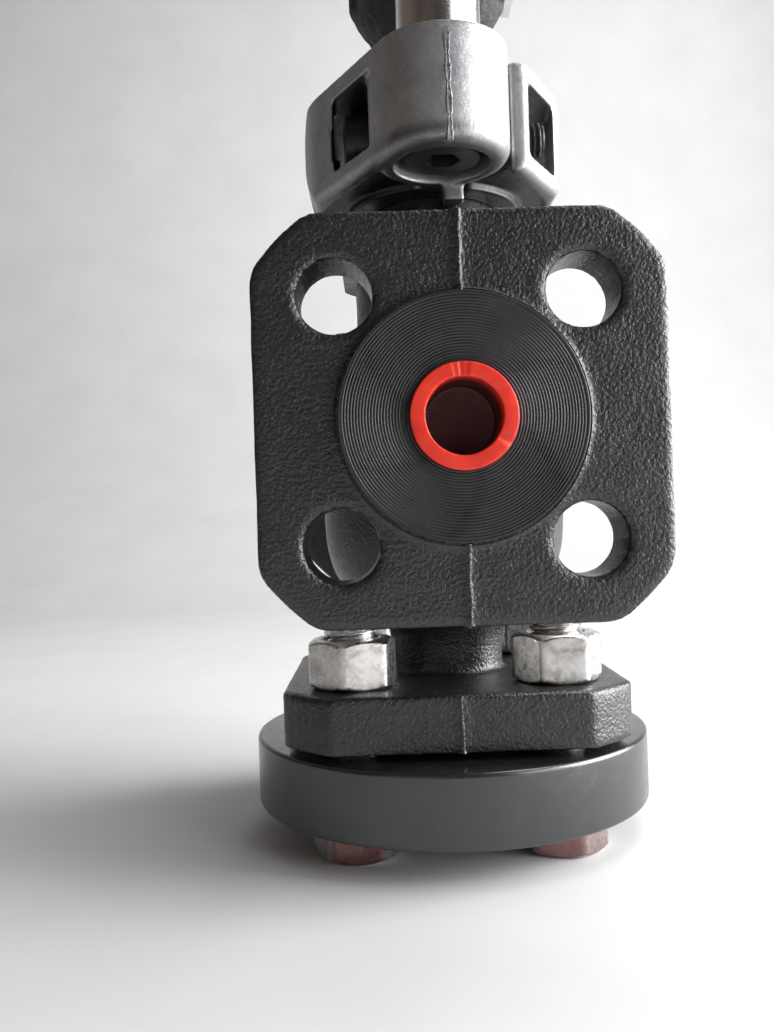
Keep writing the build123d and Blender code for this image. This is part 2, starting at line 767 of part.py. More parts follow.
with BuildPart() as yoke_bracket:
    # oval casting, bulged at its sides
    extrude(
        Plane.XY.offset(bracket_z) * oval(bracket_half_w, hub_d, column_pitch),
        amount=bracket_h,
    )
    with BuildSketch(Plane.XZ.offset(-2 * column_pitch)):
        with BuildLine():
            low = Line((-bracket_foot_half_w, bracket_z), (bracket_foot_half_w, bracket_z))
            right_bulge = ThreePointArc(
                low @ 1,
                (bracket_half_w, (bracket_z + bracket_top_z) / 2),
                (bracket_head_half_w, bracket_top_z),
            )
            high = Line(right_bulge @ 1, (-bracket_head_half_w, bracket_top_z))
            ThreePointArc(
                high @ 1, (-bracket_half_w, (bracket_z + bracket_top_z) / 2), low @ 0
            )
        make_face()
    extrude(amount=4 * column_pitch, mode=Mode.INTERSECT)
    fillet(yoke_bracket.edges().group_by(Axis.Z)[0], radius=bracket_foot_r)
    # hollow between floor and roof, and the shallow dish under the floor
    inner = offset(
        oval(bracket_half_w, hub_d, column_pitch), amount=-bracket_wall, mode=Mode.PRIVATE
    )
    extrude(Plane.XY.offset(floor_z) * inner, amount=roof_z - floor_z, mode=Mode.SUBTRACT)
    extrude(Plane.XY.offset(bracket_z) * inner, amount=dish_h, mode=Mode.SUBTRACT)
    # windows beside the front and rear hubs
    window_h = roof_z - floor_z
    window_mid = (roof_z + floor_z) / 2
    for side in (-1, 1):
        for way, (near, far) in ((-1, window_left), (1, window_right)):
            with Locations((way * (near + far) / 2, side * column_y, window_mid)):
                Box(far - near, 2 * window_reach, window_h, mode=Mode.SUBTRACT)
    # the right wall ends short of the front hub, so the clamp can close
    strip_y = -column_y + strip_gap_y
    with Locations((0, strip_y, bracket_z)):
        Box(
            2 * bracket_half_w, column_pitch, bracket_h,
            align=(Align.MIN, Align.MAX, Align.MIN), mode=Mode.SUBTRACT,
        )
    # middle ring, hubs with a rounded lower edge, and the web that carries the clamp screw
    disc(ring_d, bracket_z, bracket_h)
    with BuildPart(mode=Mode.PRIVATE) as hub:
        with BuildSketch(Plane.XZ):
            with BuildLine():
                base = Line((0, bracket_z), (hub_d / 2 - hub_edge_r, bracket_z))
                edge = TangentArc(
                    base @ 1,
                    (hub_d / 2, bracket_z + hub_edge_r),
                    tangent=(1, 0),
                )
                Polyline(
                    edge @ 1, (hub_d / 2, bracket_top_z), (0, bracket_top_z), (0, bracket_z)
                )
            make_face()
        revolve(axis=Axis.Z)
    for side in (-1, 1):
        with Locations((0, side * column_y, 0)):
            add(hub.part)
        web_end = side * (bonnet_neck_d / 2 + bore_overlap)
        with Locations((0, (web_end + side * column_y) / 2, bracket_z + dish_h + bracket_h / 2)):
            Box(web_w, abs(side * column_y - web_end), web_h)
    with Locations(((clamp_boss_right - clamp_boss_left) / 2, -clamp_y, clamp_axis_z)):
        Box(clamp_boss_left + clamp_boss_right, clamp_boss_l, clamp_boss_h)
    # small rib from the front hub to the ring, under the floor
    rib_l = column_y - counterbore_d / 2 - bonnet_neck_d / 2 + bore_overlap
    with Locations((rib_x, -column_y + counterbore_d / 2, bracket_z - rib_drop)):
        Box(
            rib_w, rib_l, rib_drop + dish_h,
            align=(Align.CENTER, Align.MIN, Align.MIN),
        )
    # bore for the bonnet neck, column seats, screw counterbores
    disc(bonnet_neck_d + 2 * thread_gap, bracket_z - rib_drop, bracket_h + rib_drop, Mode.SUBTRACT)
    disc(column_d + 2 * thread_gap, column_bottom_z, column_seat, Mode.SUBTRACT, column_points)
    disc(column_screw_d + 2 * head_gap, bracket_z, bracket_h, Mode.SUBTRACT, column_points)
    disc(counterbore_d, bracket_z, counterbore_h, Mode.SUBTRACT, column_points)
    # clamp slot round the front hub into the bore
    with BuildSketch(Plane.XY.offset(bracket_z - rib_drop)):
        with BuildLine():
            gap_arc = CenterArc((0, -column_y), (hub_d + slot_w) / 2, 0, slot_end_deg)
            Line(gap_arc @ 1, (slot_bore_x, -bonnet_neck_d / 2 + bore_overlap))
        trace(line_width=slot_w)
    extrude(amount=bracket_h + rib_drop, mode=Mode.SUBTRACT)
    # clamp screw hole and the seat of its head
    with Locations(Location((0, -clamp_y, clamp_axis_z), (0, 90, 0))):
        Cylinder(clamp_d / 2 + seat_gap, 2 * clamp_end_x, mode=Mode.SUBTRACT)
    with Locations(Location((clamp_head_x - clamp_head_h / 2, -clamp_y, clamp_axis_z), (0, 90, 0))):
        Cylinder(clamp_head_d / 2 + head_gap, clamp_head_h, mode=Mode.SUBTRACT)
yoke_bracket.part.label = "yoke_bracket"
export_step(yoke_bracket.part, "parts/yoke_bracket.step")

with BuildPart() as clamp_screw:
    with Locations(
        Location(((clamp_head_x + clamp_end_x) / 2, -clamp_y, clamp_axis_z), (0, 90, 0))
    ):
        Cylinder(clamp_d / 2, clamp_end_x - clamp_head_x)
    with Locations(Location((clamp_head_x - clamp_head_h / 2, -clamp_y, clamp_axis_z), (0, 90, 0))):
        Cylinder(clamp_head_d / 2, clamp_head_h)
    with BuildSketch(Plane((clamp_head_x - clamp_head_h, -clamp_y, clamp_axis_z), z_dir=(1, 0, 0))):
        RegularPolygon(clamp_socket_d / 2, HEX, major_radius=False)
    extrude(amount=clamp_head_h / 2, mode=Mode.SUBTRACT)
clamp_screw.part.label = "clamp_screw"
export_step(clamp_screw.part, "parts/clamp_screw.step")


# ---------------------------------------------------------------- columns
def column(y):
    """A plain bar with a tapped foot and a threaded stud at its head."""
    with BuildPart() as bar:
        turned(
            (
                (0, column_bottom_z),
                (column_d / 2, column_bottom_z),
                (column_d / 2, crosshead_z - bar_edge),
                (column_d / 2 - bar_edge, crosshead_z),
                (column_stud_d / 2, crosshead_z),
                (column_stud_d / 2, crosshead_z + column_stud_h - stud_edge),
                (column_stud_d / 2 - stud_edge, crosshead_z + column_stud_h),
                (0, crosshead_z + column_stud_h),
            )
        )
        disc(
            column_screw_d + 2 * thread_gap,
            column_bottom_z,
            column_screw_length,
            Mode.SUBTRACT,
        )
    return Location((0, y, 0)) * bar.part


column_front = column(-column_y)
column_front.label = "column_front"
export_step(column_front, "parts/column_front.step")

column_rear = column(column_y)
column_rear.label = "column_rear"
export_step(column_rear, "parts/column_rear.step")

with BuildPart() as column_screws:
    disc(
        column_screw_head_d, column_screw_z - column_screw_head_h, column_screw_head_h,
        at=column_points,
    )
    disc(column_screw_d, column_screw_z, column_screw_length, at=column_points)
    with BuildSketch(Plane.XY.offset(column_screw_z - column_screw_head_h)):
        with Locations(*column_points):
            RegularPolygon(column_socket_af / 2, HEX, major_radius=False)
    extrude(amount=column_screw_head_h * column_socket_share, mode=Mode.SUBTRACT)
column_screws.part.label = "column_screws"
export_step(column_screws.part, "parts/column_screws.step")

# ---------------------------------------------------------------- stem coupling
with BuildPart() as stem_nut:
    hexagon(
        stem_nut_af, coupling_z - stem_nut_gap - stem_nut_h, stem_nut_h, turn=stem_nut_turn,
        bore=stem_d + 2 * thread_gap,
    )
stem_nut.part.label = "stem_nut"
export_step(stem_nut.part, "parts/stem_nut.step")

with BuildPart() as stem_head:
    ring(stem_head_d, stem_d + 2 * thread_gap, stem_head_z, stem_head_h - lip_gap)
stem_head.part.label = "stem_head"
export_step(stem_head.part, "parts/stem_head.step")

with BuildPart() as coupling_nut:
    with BuildSketch(Plane.XY.offset(coupling_z)):
        Circle(coupling_d / 2 - lobe_root)
        with PolarLocations(coupling_d / 2 - lobe_d / 2, coupling_lobes):
            Circle(lobe_d / 2)
    extrude(amount=coupling_h)
    with BuildSketch(Plane.XZ):
        with BuildLine():
            low = Line((0, coupling_z), (coupling_d / 2 - coupling_foot_in, coupling_z))
            Polyline(
                low @ 1,
                (coupling_d / 2 - coupling_waist_in, coupling_z + coupling_waist_h),
                (coupling_d / 2, coupling_z + coupling_foot_h),
                (coupling_d / 2, coupling_top_z - coupling_shoulder_h),
                (coupling_d / 2 - coupling_shoulder, coupling_top_z),
                (0, coupling_top_z),
                (0, coupling_z),
            )
        make_face()
    revolve(axis=Axis.Z, mode=Mode.INTERSECT)
    disc(stem_d + 2, coupling_z, coupling_lip, Mode.SUBTRACT)
    disc(boss_d + 2 * thread_gap, stem_head_z, coupling_h, Mode.SUBTRACT)
coupling_nut.part.label = "coupling_nut"
export_step(coupling_nut.part, "parts/coupling_nut.step")

with BuildPart() as spindle:
    turned(
        (
            (0, boss_z),
            (boss_d / 2, boss_z),
            (boss_d / 2, boss_top_z),
            (spindle_d / 2, boss_top_z),
            (spindle_d / 2, spindle_top_z - spindle_edge),
            (spindle_d / 2 - spindle_edge, spindle_top_z),
            (0, spindle_top_z),
        )
    )
spindle.part.label = "spindle"
export_step(spindle.part, "parts/spindle.step")

with BuildPart() as guide_arm:
    with BuildSketch(Plane.XY.offset(arm_z)):
        RectangleRounded(arm_w, column_pitch + 2 * arm_overhang, arm_corner_r)
        with Locations(*column_points):
            Circle(column_d / 2 + fork_gap, mode=Mode.SUBTRACT)
        for side in (-1, 1):
            with Locations((0, side * (column_y + arm_overhang))):
                Rectangle(column_d + 2 * fork_gap, 2 * arm_overhang, mode=Mode.SUBTRACT)
        with Locations((arm_w / 2, 0)):
            Rectangle(2 * pointer_l, pointer_w)
        Circle(spindle_d / 2 + thread_gap, mode=Mode.SUBTRACT)
    extrude(amount=arm_t)
guide_arm.part.label = "guide_arm"
export_step(guide_arm.part, "parts/guide_arm.step")

with BuildPart() as arm_nut:
    hexagon(arm_nut_af, arm_nut_z, arm_nut_h, turn=arm_nut_turn, bore=spindle_d + 2 * thread_gap)
arm_nut.part.label = "arm_nut"
export_step(arm_nut.part, "parts/arm_nut.step")

# ---------------------------------------------------------------- crosshead and drive
cap_points = [(x * cap_screw_x, y * cap_screw_y) for x in (-1, 1) for y in (-1, 1)]

with BuildPart() as crosshead:
    with BuildSketch(Plane.XY.offset(crosshead_z)):
        RectangleRounded(crosshead_w, crosshead_l, crosshead_corner_r)
        with Locations(*column_points):
            Circle(crosshead_hub_d / 2)
        Rectangle(crosshead_hub_d, column_pitch)
    extrude(amount=crosshead_h)
    disc(sleeve_d + 2 * sleeve_room, crosshead_z, crosshead_h, Mode.SUBTRACT)
    disc(sleeve_flange_d + 2 * flange_room, well_z, crosshead_top_z - well_z, Mode.SUBTRACT)
    disc(column_stud_d + 2 * hole_gap, crosshead_z, crosshead_h, Mode.SUBTRACT, column_points)
    disc(cap_screw_d, crosshead_top_z - cap_screw_depth, cap_screw_depth, Mode.SUBTRACT, cap_points)
    scale_hole_x = crosshead_w / 2 - scale_hole_depth / 2
    with Locations(Location((scale_hole_x, 0, crosshead_z + crosshead_h / 2), (0, 90, 0))):
        Cylinder(scale_screw_d / 2, scale_hole_depth, mode=Mode.SUBTRACT)
crosshead.part.label = "crosshead"
export_step(crosshead.part, "parts/crosshead.step")

with BuildPart() as thrust_washers:
    washer_bore = sleeve_d + 2 * flange_room
    washer_h = thrust_washer_h - slide_gap
    ring(sleeve_flange_d, washer_bore, well_z, washer_h)
    ring(sleeve_flange_d, washer_bore, upper_washer_z + slide_gap, washer_h)
thrust_washers.part.label = "thrust_washers"
export_step(thrust_washers.part, "parts/thrust_washers.step")

with BuildPart() as drive_sleeve:
    turned(
        (
            (spindle_d / 2 + 2 * slide_gap, crosshead_z + sleeve_inset),
            (sleeve_d / 2, crosshead_z + sleeve_inset),
            (sleeve_d / 2, sleeve_flange_z),
            (sleeve_flange_d / 2 - hole_gap, sleeve_flange_z),
            (sleeve_flange_d / 2 - hole_gap, upper_washer_z),
            (sleeve_d / 2, upper_washer_z),
            (sleeve_d / 2, sleeve_top_z - sleeve_edge),
            (sleeve_d / 2 - sleeve_edge, sleeve_top_z),
            (spindle_d / 2 + 2 * slide_gap, sleeve_top_z),
        )
    )
    with Locations((sleeve_d / 2, 0, wheel_z + wheel_hub_h / 2)):
        Box(key_h, key_w, wheel_hub_h, mode=Mode.SUBTRACT)
drive_sleeve.part.label = "drive_sleeve"
export_step(drive_sleeve.part, "parts/drive_sleeve.step")

with BuildPart() as sleeve_cap:
    with BuildSketch(Plane.XY.offset(crosshead_top_z)):
        RectangleRounded(cap_w, cap_l, cap_corner_r)
        Circle(sleeve_d / 2 + hole_gap, mode=Mode.SUBTRACT)
        with Locations(*cap_points):
            Circle(cap_screw_d / 2 + head_gap, mode=Mode.SUBTRACT)
    extrude(amount=cap_h)
sleeve_cap.part.label = "sleeve_cap"
export_step(sleeve_cap.part, "parts/sleeve_cap.step")

with BuildPart() as cap_screws:
    cap_shank_l = cap_screw_depth - 1 + cap_h
    disc(cap_screw_d - 2 * thread_gap, cap_top_z - cap_shank_l, cap_shank_l, at=cap_points)
    disc(cap_screw_d * cap_head_share, cap_top_z, cap_head_h, at=cap_points)
    with BuildSketch(Plane.XY.offset(cap_top_z + cap_head_h)):
        with Locations(*cap_points):
            RegularPolygon(cap_socket_d / 2, HEX, major_radius=False)
    extrude(amount=-cap_socket_h, mode=Mode.SUBTRACT)
cap_screws.part.label = "cap_screws"
export_step(cap_screws.part, "parts/cap_screws.step")

with BuildPart() as column_washers:
    with BuildSketch(Plane.XY.offset(crosshead_top_z)):
        with Locations(*column_points):
            Circle(column_washer_d / 2)
            Circle(column_stud_d / 2 + hole_gap, mode=Mode.SUBTRACT)
    extrude(amount=column_washer_h)
column_washers.part.label = "column_washers"
export_step(column_washers.part, "parts/column_washers.step")

with BuildPart() as column_nuts:
    hexagon(
        column_nut_af, crosshead_top_z + column_washer_h, column_nut_h, column_points,
        turn=column_nut_turn, bore=column_stud_d + 2 * thread_gap,
    )
column_nuts.part.label = "column_nuts"
export_step(column_nuts.part, "parts/column_nuts.step")

with BuildPart() as travel_scale:
    scale_x = arm_w / 2 + pointer_l + scale_gap
    scale_drop = travel + 2 * scale_margin
    with Locations((scale_x + scale_t / 2, 0, crosshead_z - scale_drop / 2)):
        Box(scale_t, scale_w, scale_drop)
    with Locations(((scale_x + crosshead_w / 2 + scale_t) / 2, 0, crosshead_z - scale_t / 2)):
        Box(crosshead_w / 2 + scale_t - scale_x, scale_w, scale_t)
    with Locations((crosshead_w / 2 + scale_t / 2, 0, crosshead_z + crosshead_h / 2 - scale_t / 2)):
        Box(scale_t, scale_w, crosshead_h)
    with Locations(Location((crosshead_w / 2, 0, crosshead_z + crosshead_h / 2), (0, 90, 0))):
        Cylinder(scale_screw_d / 2 + hole_gap, 3 * scale_t, mode=Mode.SUBTRACT)
travel_scale.part.label = "travel_scale"
export_step(travel_scale.part, "parts/travel_scale.step")

with BuildPart() as scale_screw:
    screw_x = crosshead_w / 2 + scale_t
    screw_mid_z = crosshead_z + crosshead_h / 2
    with Locations(Location((screw_x - scale_screw_l / 2, 0, screw_mid_z), (0, 90, 0))):
        Cylinder(scale_screw_d / 2 - thread_gap, scale_screw_l)
    with Locations(Location((screw_x + scale_head_h / 2, 0, screw_mid_z), (0, 90, 0))):
        Cylinder(scale_head_d / 2, scale_head_h)
scale_screw.part.label = "scale_screw"
export_step(scale_screw.part, "parts/scale_screw.step")

# ---------------------------------------------------------------- handwheel
with BuildPart() as handwheel:
    disc(wheel_hub_d, wheel_z, wheel_hub_h)
    rim_r = (wheel_d - rim_d) / 2
    rim_z = wheel_z + wheel_hub_h / 2 + rim_rise
    with BuildSketch(Plane.XZ):
        with Locations((rim_r, rim_z)):
            Circle(rim_d / 2)
    revolve(axis=Axis.Z)
    root_r = wheel_hub_d / 2 - spoke_sink
    for i in range(spokes_n):
        out = Vector(1, 0, 0).rotate(Axis.Z, i * 360 / spokes_n)
        across = out.rotate(Axis.Z, 90)
        hub_end = Plane(out * root_r + Vector(0, 0, wheel_z + wheel_hub_h / 2), across, out)
        rim_end = Plane(out * rim_r + Vector(0, 0, rim_z), across, out)
        with BuildSketch(hub_end) as root:
            Ellipse(spoke_w / 2 + spoke_swell, spoke_t / 2 + spoke_swell)
        with BuildSketch(rim_end) as end:
            Ellipse(spoke_w / 2, spoke_t / 2)
        loft([root.sketch.face(), end.sketch.face()])
    disc(sleeve_d + 2 * thread_gap, wheel_z, wheel_hub_h, Mode.SUBTRACT)
    with Locations((sleeve_d / 2, 0, wheel_z + wheel_hub_h / 2)):
        Box(key_h + 2 * key_gap, key_w, wheel_hub_h, mode=Mode.SUBTRACT)
handwheel.part.label = "handwheel"
export_step(handwheel.part, "parts/handwheel.step")

with BuildPart() as wheel_key:
    with Locations((sleeve_d / 2, 0, wheel_z + wheel_hub_h / 2)):
        Box(key_h - key_gap, key_w - key_gap, wheel_hub_h - key_gap)
wheel_key.part.label = "wheel_key"
export_step(wheel_key.part, "parts/wheel_key.step")

with BuildPart() as wheel_washer:
    ring(wheel_nut_af, sleeve_d + 2 * thread_gap, wheel_top_z, wheel_washer_h)
wheel_washer.part.label = "wheel_washer"
export_step(wheel_washer.part, "parts/wheel_washer.step")

with BuildPart() as wheel_nut:
    hexagon(
        wheel_nut_af, wheel_nut_z, wheel_nut_h, turn=column_nut_turn, bevel=wheel_nut_bevel,
        bore=sleeve_d + 2 * thread_gap,
    )
wheel_nut.part.label = "wheel_nut"
export_step(wheel_nut.part, "parts/wheel_nut.step")
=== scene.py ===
"""The looks of the globe valve: cast, machined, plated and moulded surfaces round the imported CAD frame.

Lengths are in metres. MM turns millimetres into metres.
"""

import json
import math

import bmesh
import bpy
import numpy as np
from mathutils import Matrix, Vector


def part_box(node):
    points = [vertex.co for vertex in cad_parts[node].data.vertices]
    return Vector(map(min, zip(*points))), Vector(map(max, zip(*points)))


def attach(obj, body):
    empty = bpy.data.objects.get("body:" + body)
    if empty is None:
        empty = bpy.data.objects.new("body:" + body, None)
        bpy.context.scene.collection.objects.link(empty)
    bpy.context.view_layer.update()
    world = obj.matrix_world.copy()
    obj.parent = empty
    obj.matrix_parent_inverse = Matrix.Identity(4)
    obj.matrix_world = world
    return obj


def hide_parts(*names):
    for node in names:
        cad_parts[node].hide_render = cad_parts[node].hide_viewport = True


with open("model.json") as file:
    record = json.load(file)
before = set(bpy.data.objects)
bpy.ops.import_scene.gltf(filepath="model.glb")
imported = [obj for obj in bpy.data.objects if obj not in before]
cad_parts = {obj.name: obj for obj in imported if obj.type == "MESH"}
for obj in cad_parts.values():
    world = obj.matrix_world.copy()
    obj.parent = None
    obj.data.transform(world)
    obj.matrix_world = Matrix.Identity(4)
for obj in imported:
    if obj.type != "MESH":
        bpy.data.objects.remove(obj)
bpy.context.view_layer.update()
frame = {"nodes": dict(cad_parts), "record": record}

MM = 0.001
TAU = 2 * math.pi

# ---------------------------------------------------------------- places taken from the frame
record = frame["record"]
mounts = {m["name"]: m for m in record["mounts"]}
FLOW_Z = mounts["inlet_bolts"]["pos_m"][2]
HOLE_R = mounts["inlet_bolts"]["dims"]["hole_r_mm"] * MM
BOLT_R = mounts["inlet_bolts"]["dims"]["pcd_mm"] * MM / 2
PLATE_FACE_Y = -mounts["inlet_bolts"]["pos_m"][1]
SQUARE = BOLT_R / math.sqrt(2)
body_low, body_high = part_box("valve_body")
FACE_Y = body_high.y
BODY_BOTTOM_Z = body_low.z
HALF_SQUARE = 38.5 * MM
HEAD_TOP_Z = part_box("blank_flange")[0].z
COLUMN_Y = sum(c.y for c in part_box("column_rear")) / 2


# sizes shared by several pieces
M12_FLATS = 18 * MM
M12_PITCH = 1.75 * MM
PORT_R = 8.5 * MM
PARTING_X = 0.2 * MM
FLANGE_HOLE_DEEP = 15 * MM
FOOT_HOLE_DEEP = 13.5 * MM


# ---------------------------------------------------------------- mesh helpers
def new_object(name, mesh):
    obj = bpy.data.objects.new(name, mesh)
    bpy.context.scene.collection.objects.link(obj)
    return obj


def piece(name, bm, body, replaced=(), sharp=32):
    """Makes an object from bm, shades it smooth with sharp edges, and hangs it on a body."""
    bmesh.ops.remove_doubles(bm, verts=bm.verts, dist=1e-7)
    bmesh.ops.recalc_face_normals(bm, faces=bm.faces)
    mesh = bpy.data.meshes.new(name)
    bm.to_mesh(mesh)
    bm.free()
    mesh.shade_smooth()
    mesh.set_sharp_from_angle(angle=math.radians(sharp))
    obj = new_object(name, mesh)
    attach(obj, body)
    if replaced:
        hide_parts(*replaced)
    return obj


def grid_faces(bm, rows, closed=True):
    """Joins rows of vertices, each a ring, with quads."""
    for low, high in zip(rows, rows[1:]):
        n = len(low)
        for i in range(n if closed else n - 1):
            j = (i + 1) % n
            bm.faces.new((low[i], low[j], high[j], high[i]))


def rings(bm, radius_of, rows, place, n=96, capped=(True, True)):
    """Rings of points from rows of (height, radius). radius_of(angle, height) fills a radius of None."""
    made = []
    for height, radius in rows:
        ring = []
        for i in range(n):
            a = TAU * i / n
            r = radius_of(a, height) if radius is None else radius
            ring.append(bm.verts.new(place @ Vector((r * math.cos(a), r * math.sin(a), height))))
        made.append(ring)
    grid_faces(bm, made)
    if capped[0]:
        bm.faces.new(list(reversed(made[0])))
    if capped[1]:
        bm.faces.new(made[-1])
    return made


def at(x, y, z=0.0):
    return Matrix.Translation((x, y, z))


def along_x(x, y, z):
    """Stands a shape's own +Z along +X."""
    return at(x, y, z) @ Matrix.Rotation(math.radians(90), 4, "Y")


def along_y(side, z):
    """Stands a shape's own +Z along the flow, outwards at that side."""
    turn = -90 if side > 0 else 90
    return at(0, 0, z) @ Matrix.Rotation(math.radians(turn), 4, "X")


def soft_min(a, b, width):
    """The smaller of two lengths, rounded where they cross."""
    h = max(0.0, min(1.0, 0.5 + 0.5 * (b - a) / width))
    return b * (1 - h) + a * h - width * h * (1 - h)


def hex_radius(angle, flats, turn):
    step = math.radians(60)
    off = (angle - turn + step / 2) % step - step / 2
    return flats / 2 / math.cos(off)


def hexagon(bm, place, flats, low, high, turn=0.0, bore=0.0, edge=0.22 * MM, n=120):
    """A nut or head: six flats cut by a 30 degree cone at each face, with softened edges."""
    face_r = flats / 2 * 0.955
    corner_r = flats / math.sqrt(3) - 0.25 * MM
    cone = 1 / math.tan(math.radians(30))

    def radius_of(a, z):
        r = soft_min(hex_radius(a, flats, turn), corner_r, edge)
        r = soft_min(r, face_r + (z - low) * cone, edge)
        return soft_min(r, face_r + (high - z) * cone, edge)

    steps = [0, 0.08, 0.2, 0.38, 0.6, 0.9, 1.3, 1.9]
    heights = [low + s * MM for s in steps] + [high - s * MM for s in reversed(steps)]
    rows = [(z, None) for z in heights]
    if bore:
        lip = 0.5 * MM
        rows = [(low + lip, bore), (low, bore + lip)] + rows
        rows += [(high, bore + lip), (high - lip, bore), (low + lip, bore)]
        return rings(bm, radius_of, rows, place, n, capped=(False, False))
    return rings(bm, radius_of, rows, place, n)


def thread(bm, place, major_r, pitch, low, high, depth=None, flat=0.16, n=72, capped=(True, True)):
    """A threaded bar as rings of points whose radius follows a helix. Its far end is chamfered."""
    depth = depth or 0.56 * pitch
    per_pitch = 10
    count = max(4, round((high - low) / pitch * per_pitch))

    def radius_of(a, z):
        phase = ((z - low) / pitch - a / TAU) % 1.0
        tri = abs(2 * phase - 1)
        groove = max(0.0, min(1.0, (tri - flat) / (1 - 2 * flat)))
        r = major_r - depth * groove
        return min(r, major_r - depth * 1.05 + (high - z))

    rows = [(low + (high - low) * k / count, None) for k in range(count + 1)]
    return rings(bm, radius_of, rows, place, n, capped)


def lathe(bm, place, outline, n=128, capped=(True, True)):
    """Turns (radius, height) points about the shape's own Z."""
    return rings(bm, None, [(z, r) for r, z in outline], place, n, capped)


def rounded(outline, radius, steps=4):
    """An open outline of (radius, height) points with its inner corners rounded."""
    points = [Vector(p) for p in outline]
    made = [points[0]]
    for before, here, after in zip(points, points[1:], points[2:]):
        to_before, to_after = before - here, after - here
        reach = min(radius, to_before.length * 0.45, to_after.length * 0.45)
        start = here + to_before.normalized() * reach
        end = here + to_after.normalized() * reach
        for k in range(steps + 1):
            t = k / steps
            made.append(start * (1 - t) ** 2 + here * 2 * t * (1 - t) + end * t * t)
    made.append(points[-1])
    return [tuple(p) for p in made]


def remeshed(name, node, voxel, smooth, body):
    """A CAD node's shape as an even mesh with softened edges, as a casting has."""
    mesh = frame["nodes"][node].data.copy()
    mesh.materials.clear()
    obj = new_object(name, mesh)
    remesh = obj.modifiers.new("even", "REMESH")
    remesh.mode = "VOXEL"
    remesh.voxel_size = voxel
    soften = obj.modifiers.new("soften", "SMOOTH")
    soften.factor = 0.5
    soften.iterations = smooth
    apply_modifiers(obj)
    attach(obj, body)
    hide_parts(node)
    return obj


def apply_modifiers(obj):
    """Bakes the modifiers of obj into its mesh."""
    bpy.context.view_layer.update()
    graph = bpy.context.evaluated_depsgraph_get()
    done = bpy.data.meshes.new_from_object(obj.evaluated_get(graph))
    obj.modifiers.clear()
    obj.data = done
    done.name = obj.name


def cut(obj, cutters):
    """Subtracts meshes from obj and leaves clean machined edges."""
    for k, bm in enumerate(cutters):
        bmesh.ops.recalc_face_normals(bm, faces=bm.faces)
        mesh = bpy.data.meshes.new(f"{obj.name}_cutter_{k}")
        bm.to_mesh(mesh)
        bm.free()
        tool = new_object(mesh.name, mesh)
        step = obj.modifiers.new("cut", "BOOLEAN")
        step.operation = "DIFFERENCE"
        step.solver = "MANIFOLD"
        step.object = tool
        apply_modifiers(obj)
        bpy.data.objects.remove(tool)


def fractal(points, size, seed, octaves=3):
    """Smooth pseudo-random heights in -1..1 at each point, from summed sine lattices."""
    rng = np.random.default_rng(seed)
    total = np.zeros(len(points))
    weight_sum = 0.0
    for octave in range(octaves):
        weight = 0.55**octave
        for _ in range(9):
            direction = rng.normal(size=3)
            direction /= np.linalg.norm(direction)
            wave = TAU / (size / 1.9**octave) * rng.uniform(0.7, 1.4)
            total += weight * np.sin(points @ direction * wave + rng.uniform(0, TAU))
            weight_sum += weight * 0.5
    return total / math.sqrt(weight_sum * 9)


def roughen(obj, amount, size, seed, keep=None):
    """Moves the surface along its normals by a fractal height. keep masks points, 1 moves and 0 stays."""
    mesh = obj.data
    count = len(mesh.vertices)
    places = np.empty(count * 3)
    normals = np.empty(count * 3)
    mesh.vertices.foreach_get("co", places)
    mesh.vertices.foreach_get("normal", normals)
    places, normals = places.reshape(-1, 3), normals.reshape(-1, 3)
    height = fractal(places, size, seed) * amount
    if keep is not None:
        height *= keep(places)
    mesh.vertices.foreach_set("co", (places + normals * height[:, None]).ravel())
    mesh.update()


def finish_shading(obj, sharp=40):
    obj.data.shade_smooth()
    obj.data.set_sharp_from_angle(angle=math.radians(sharp))


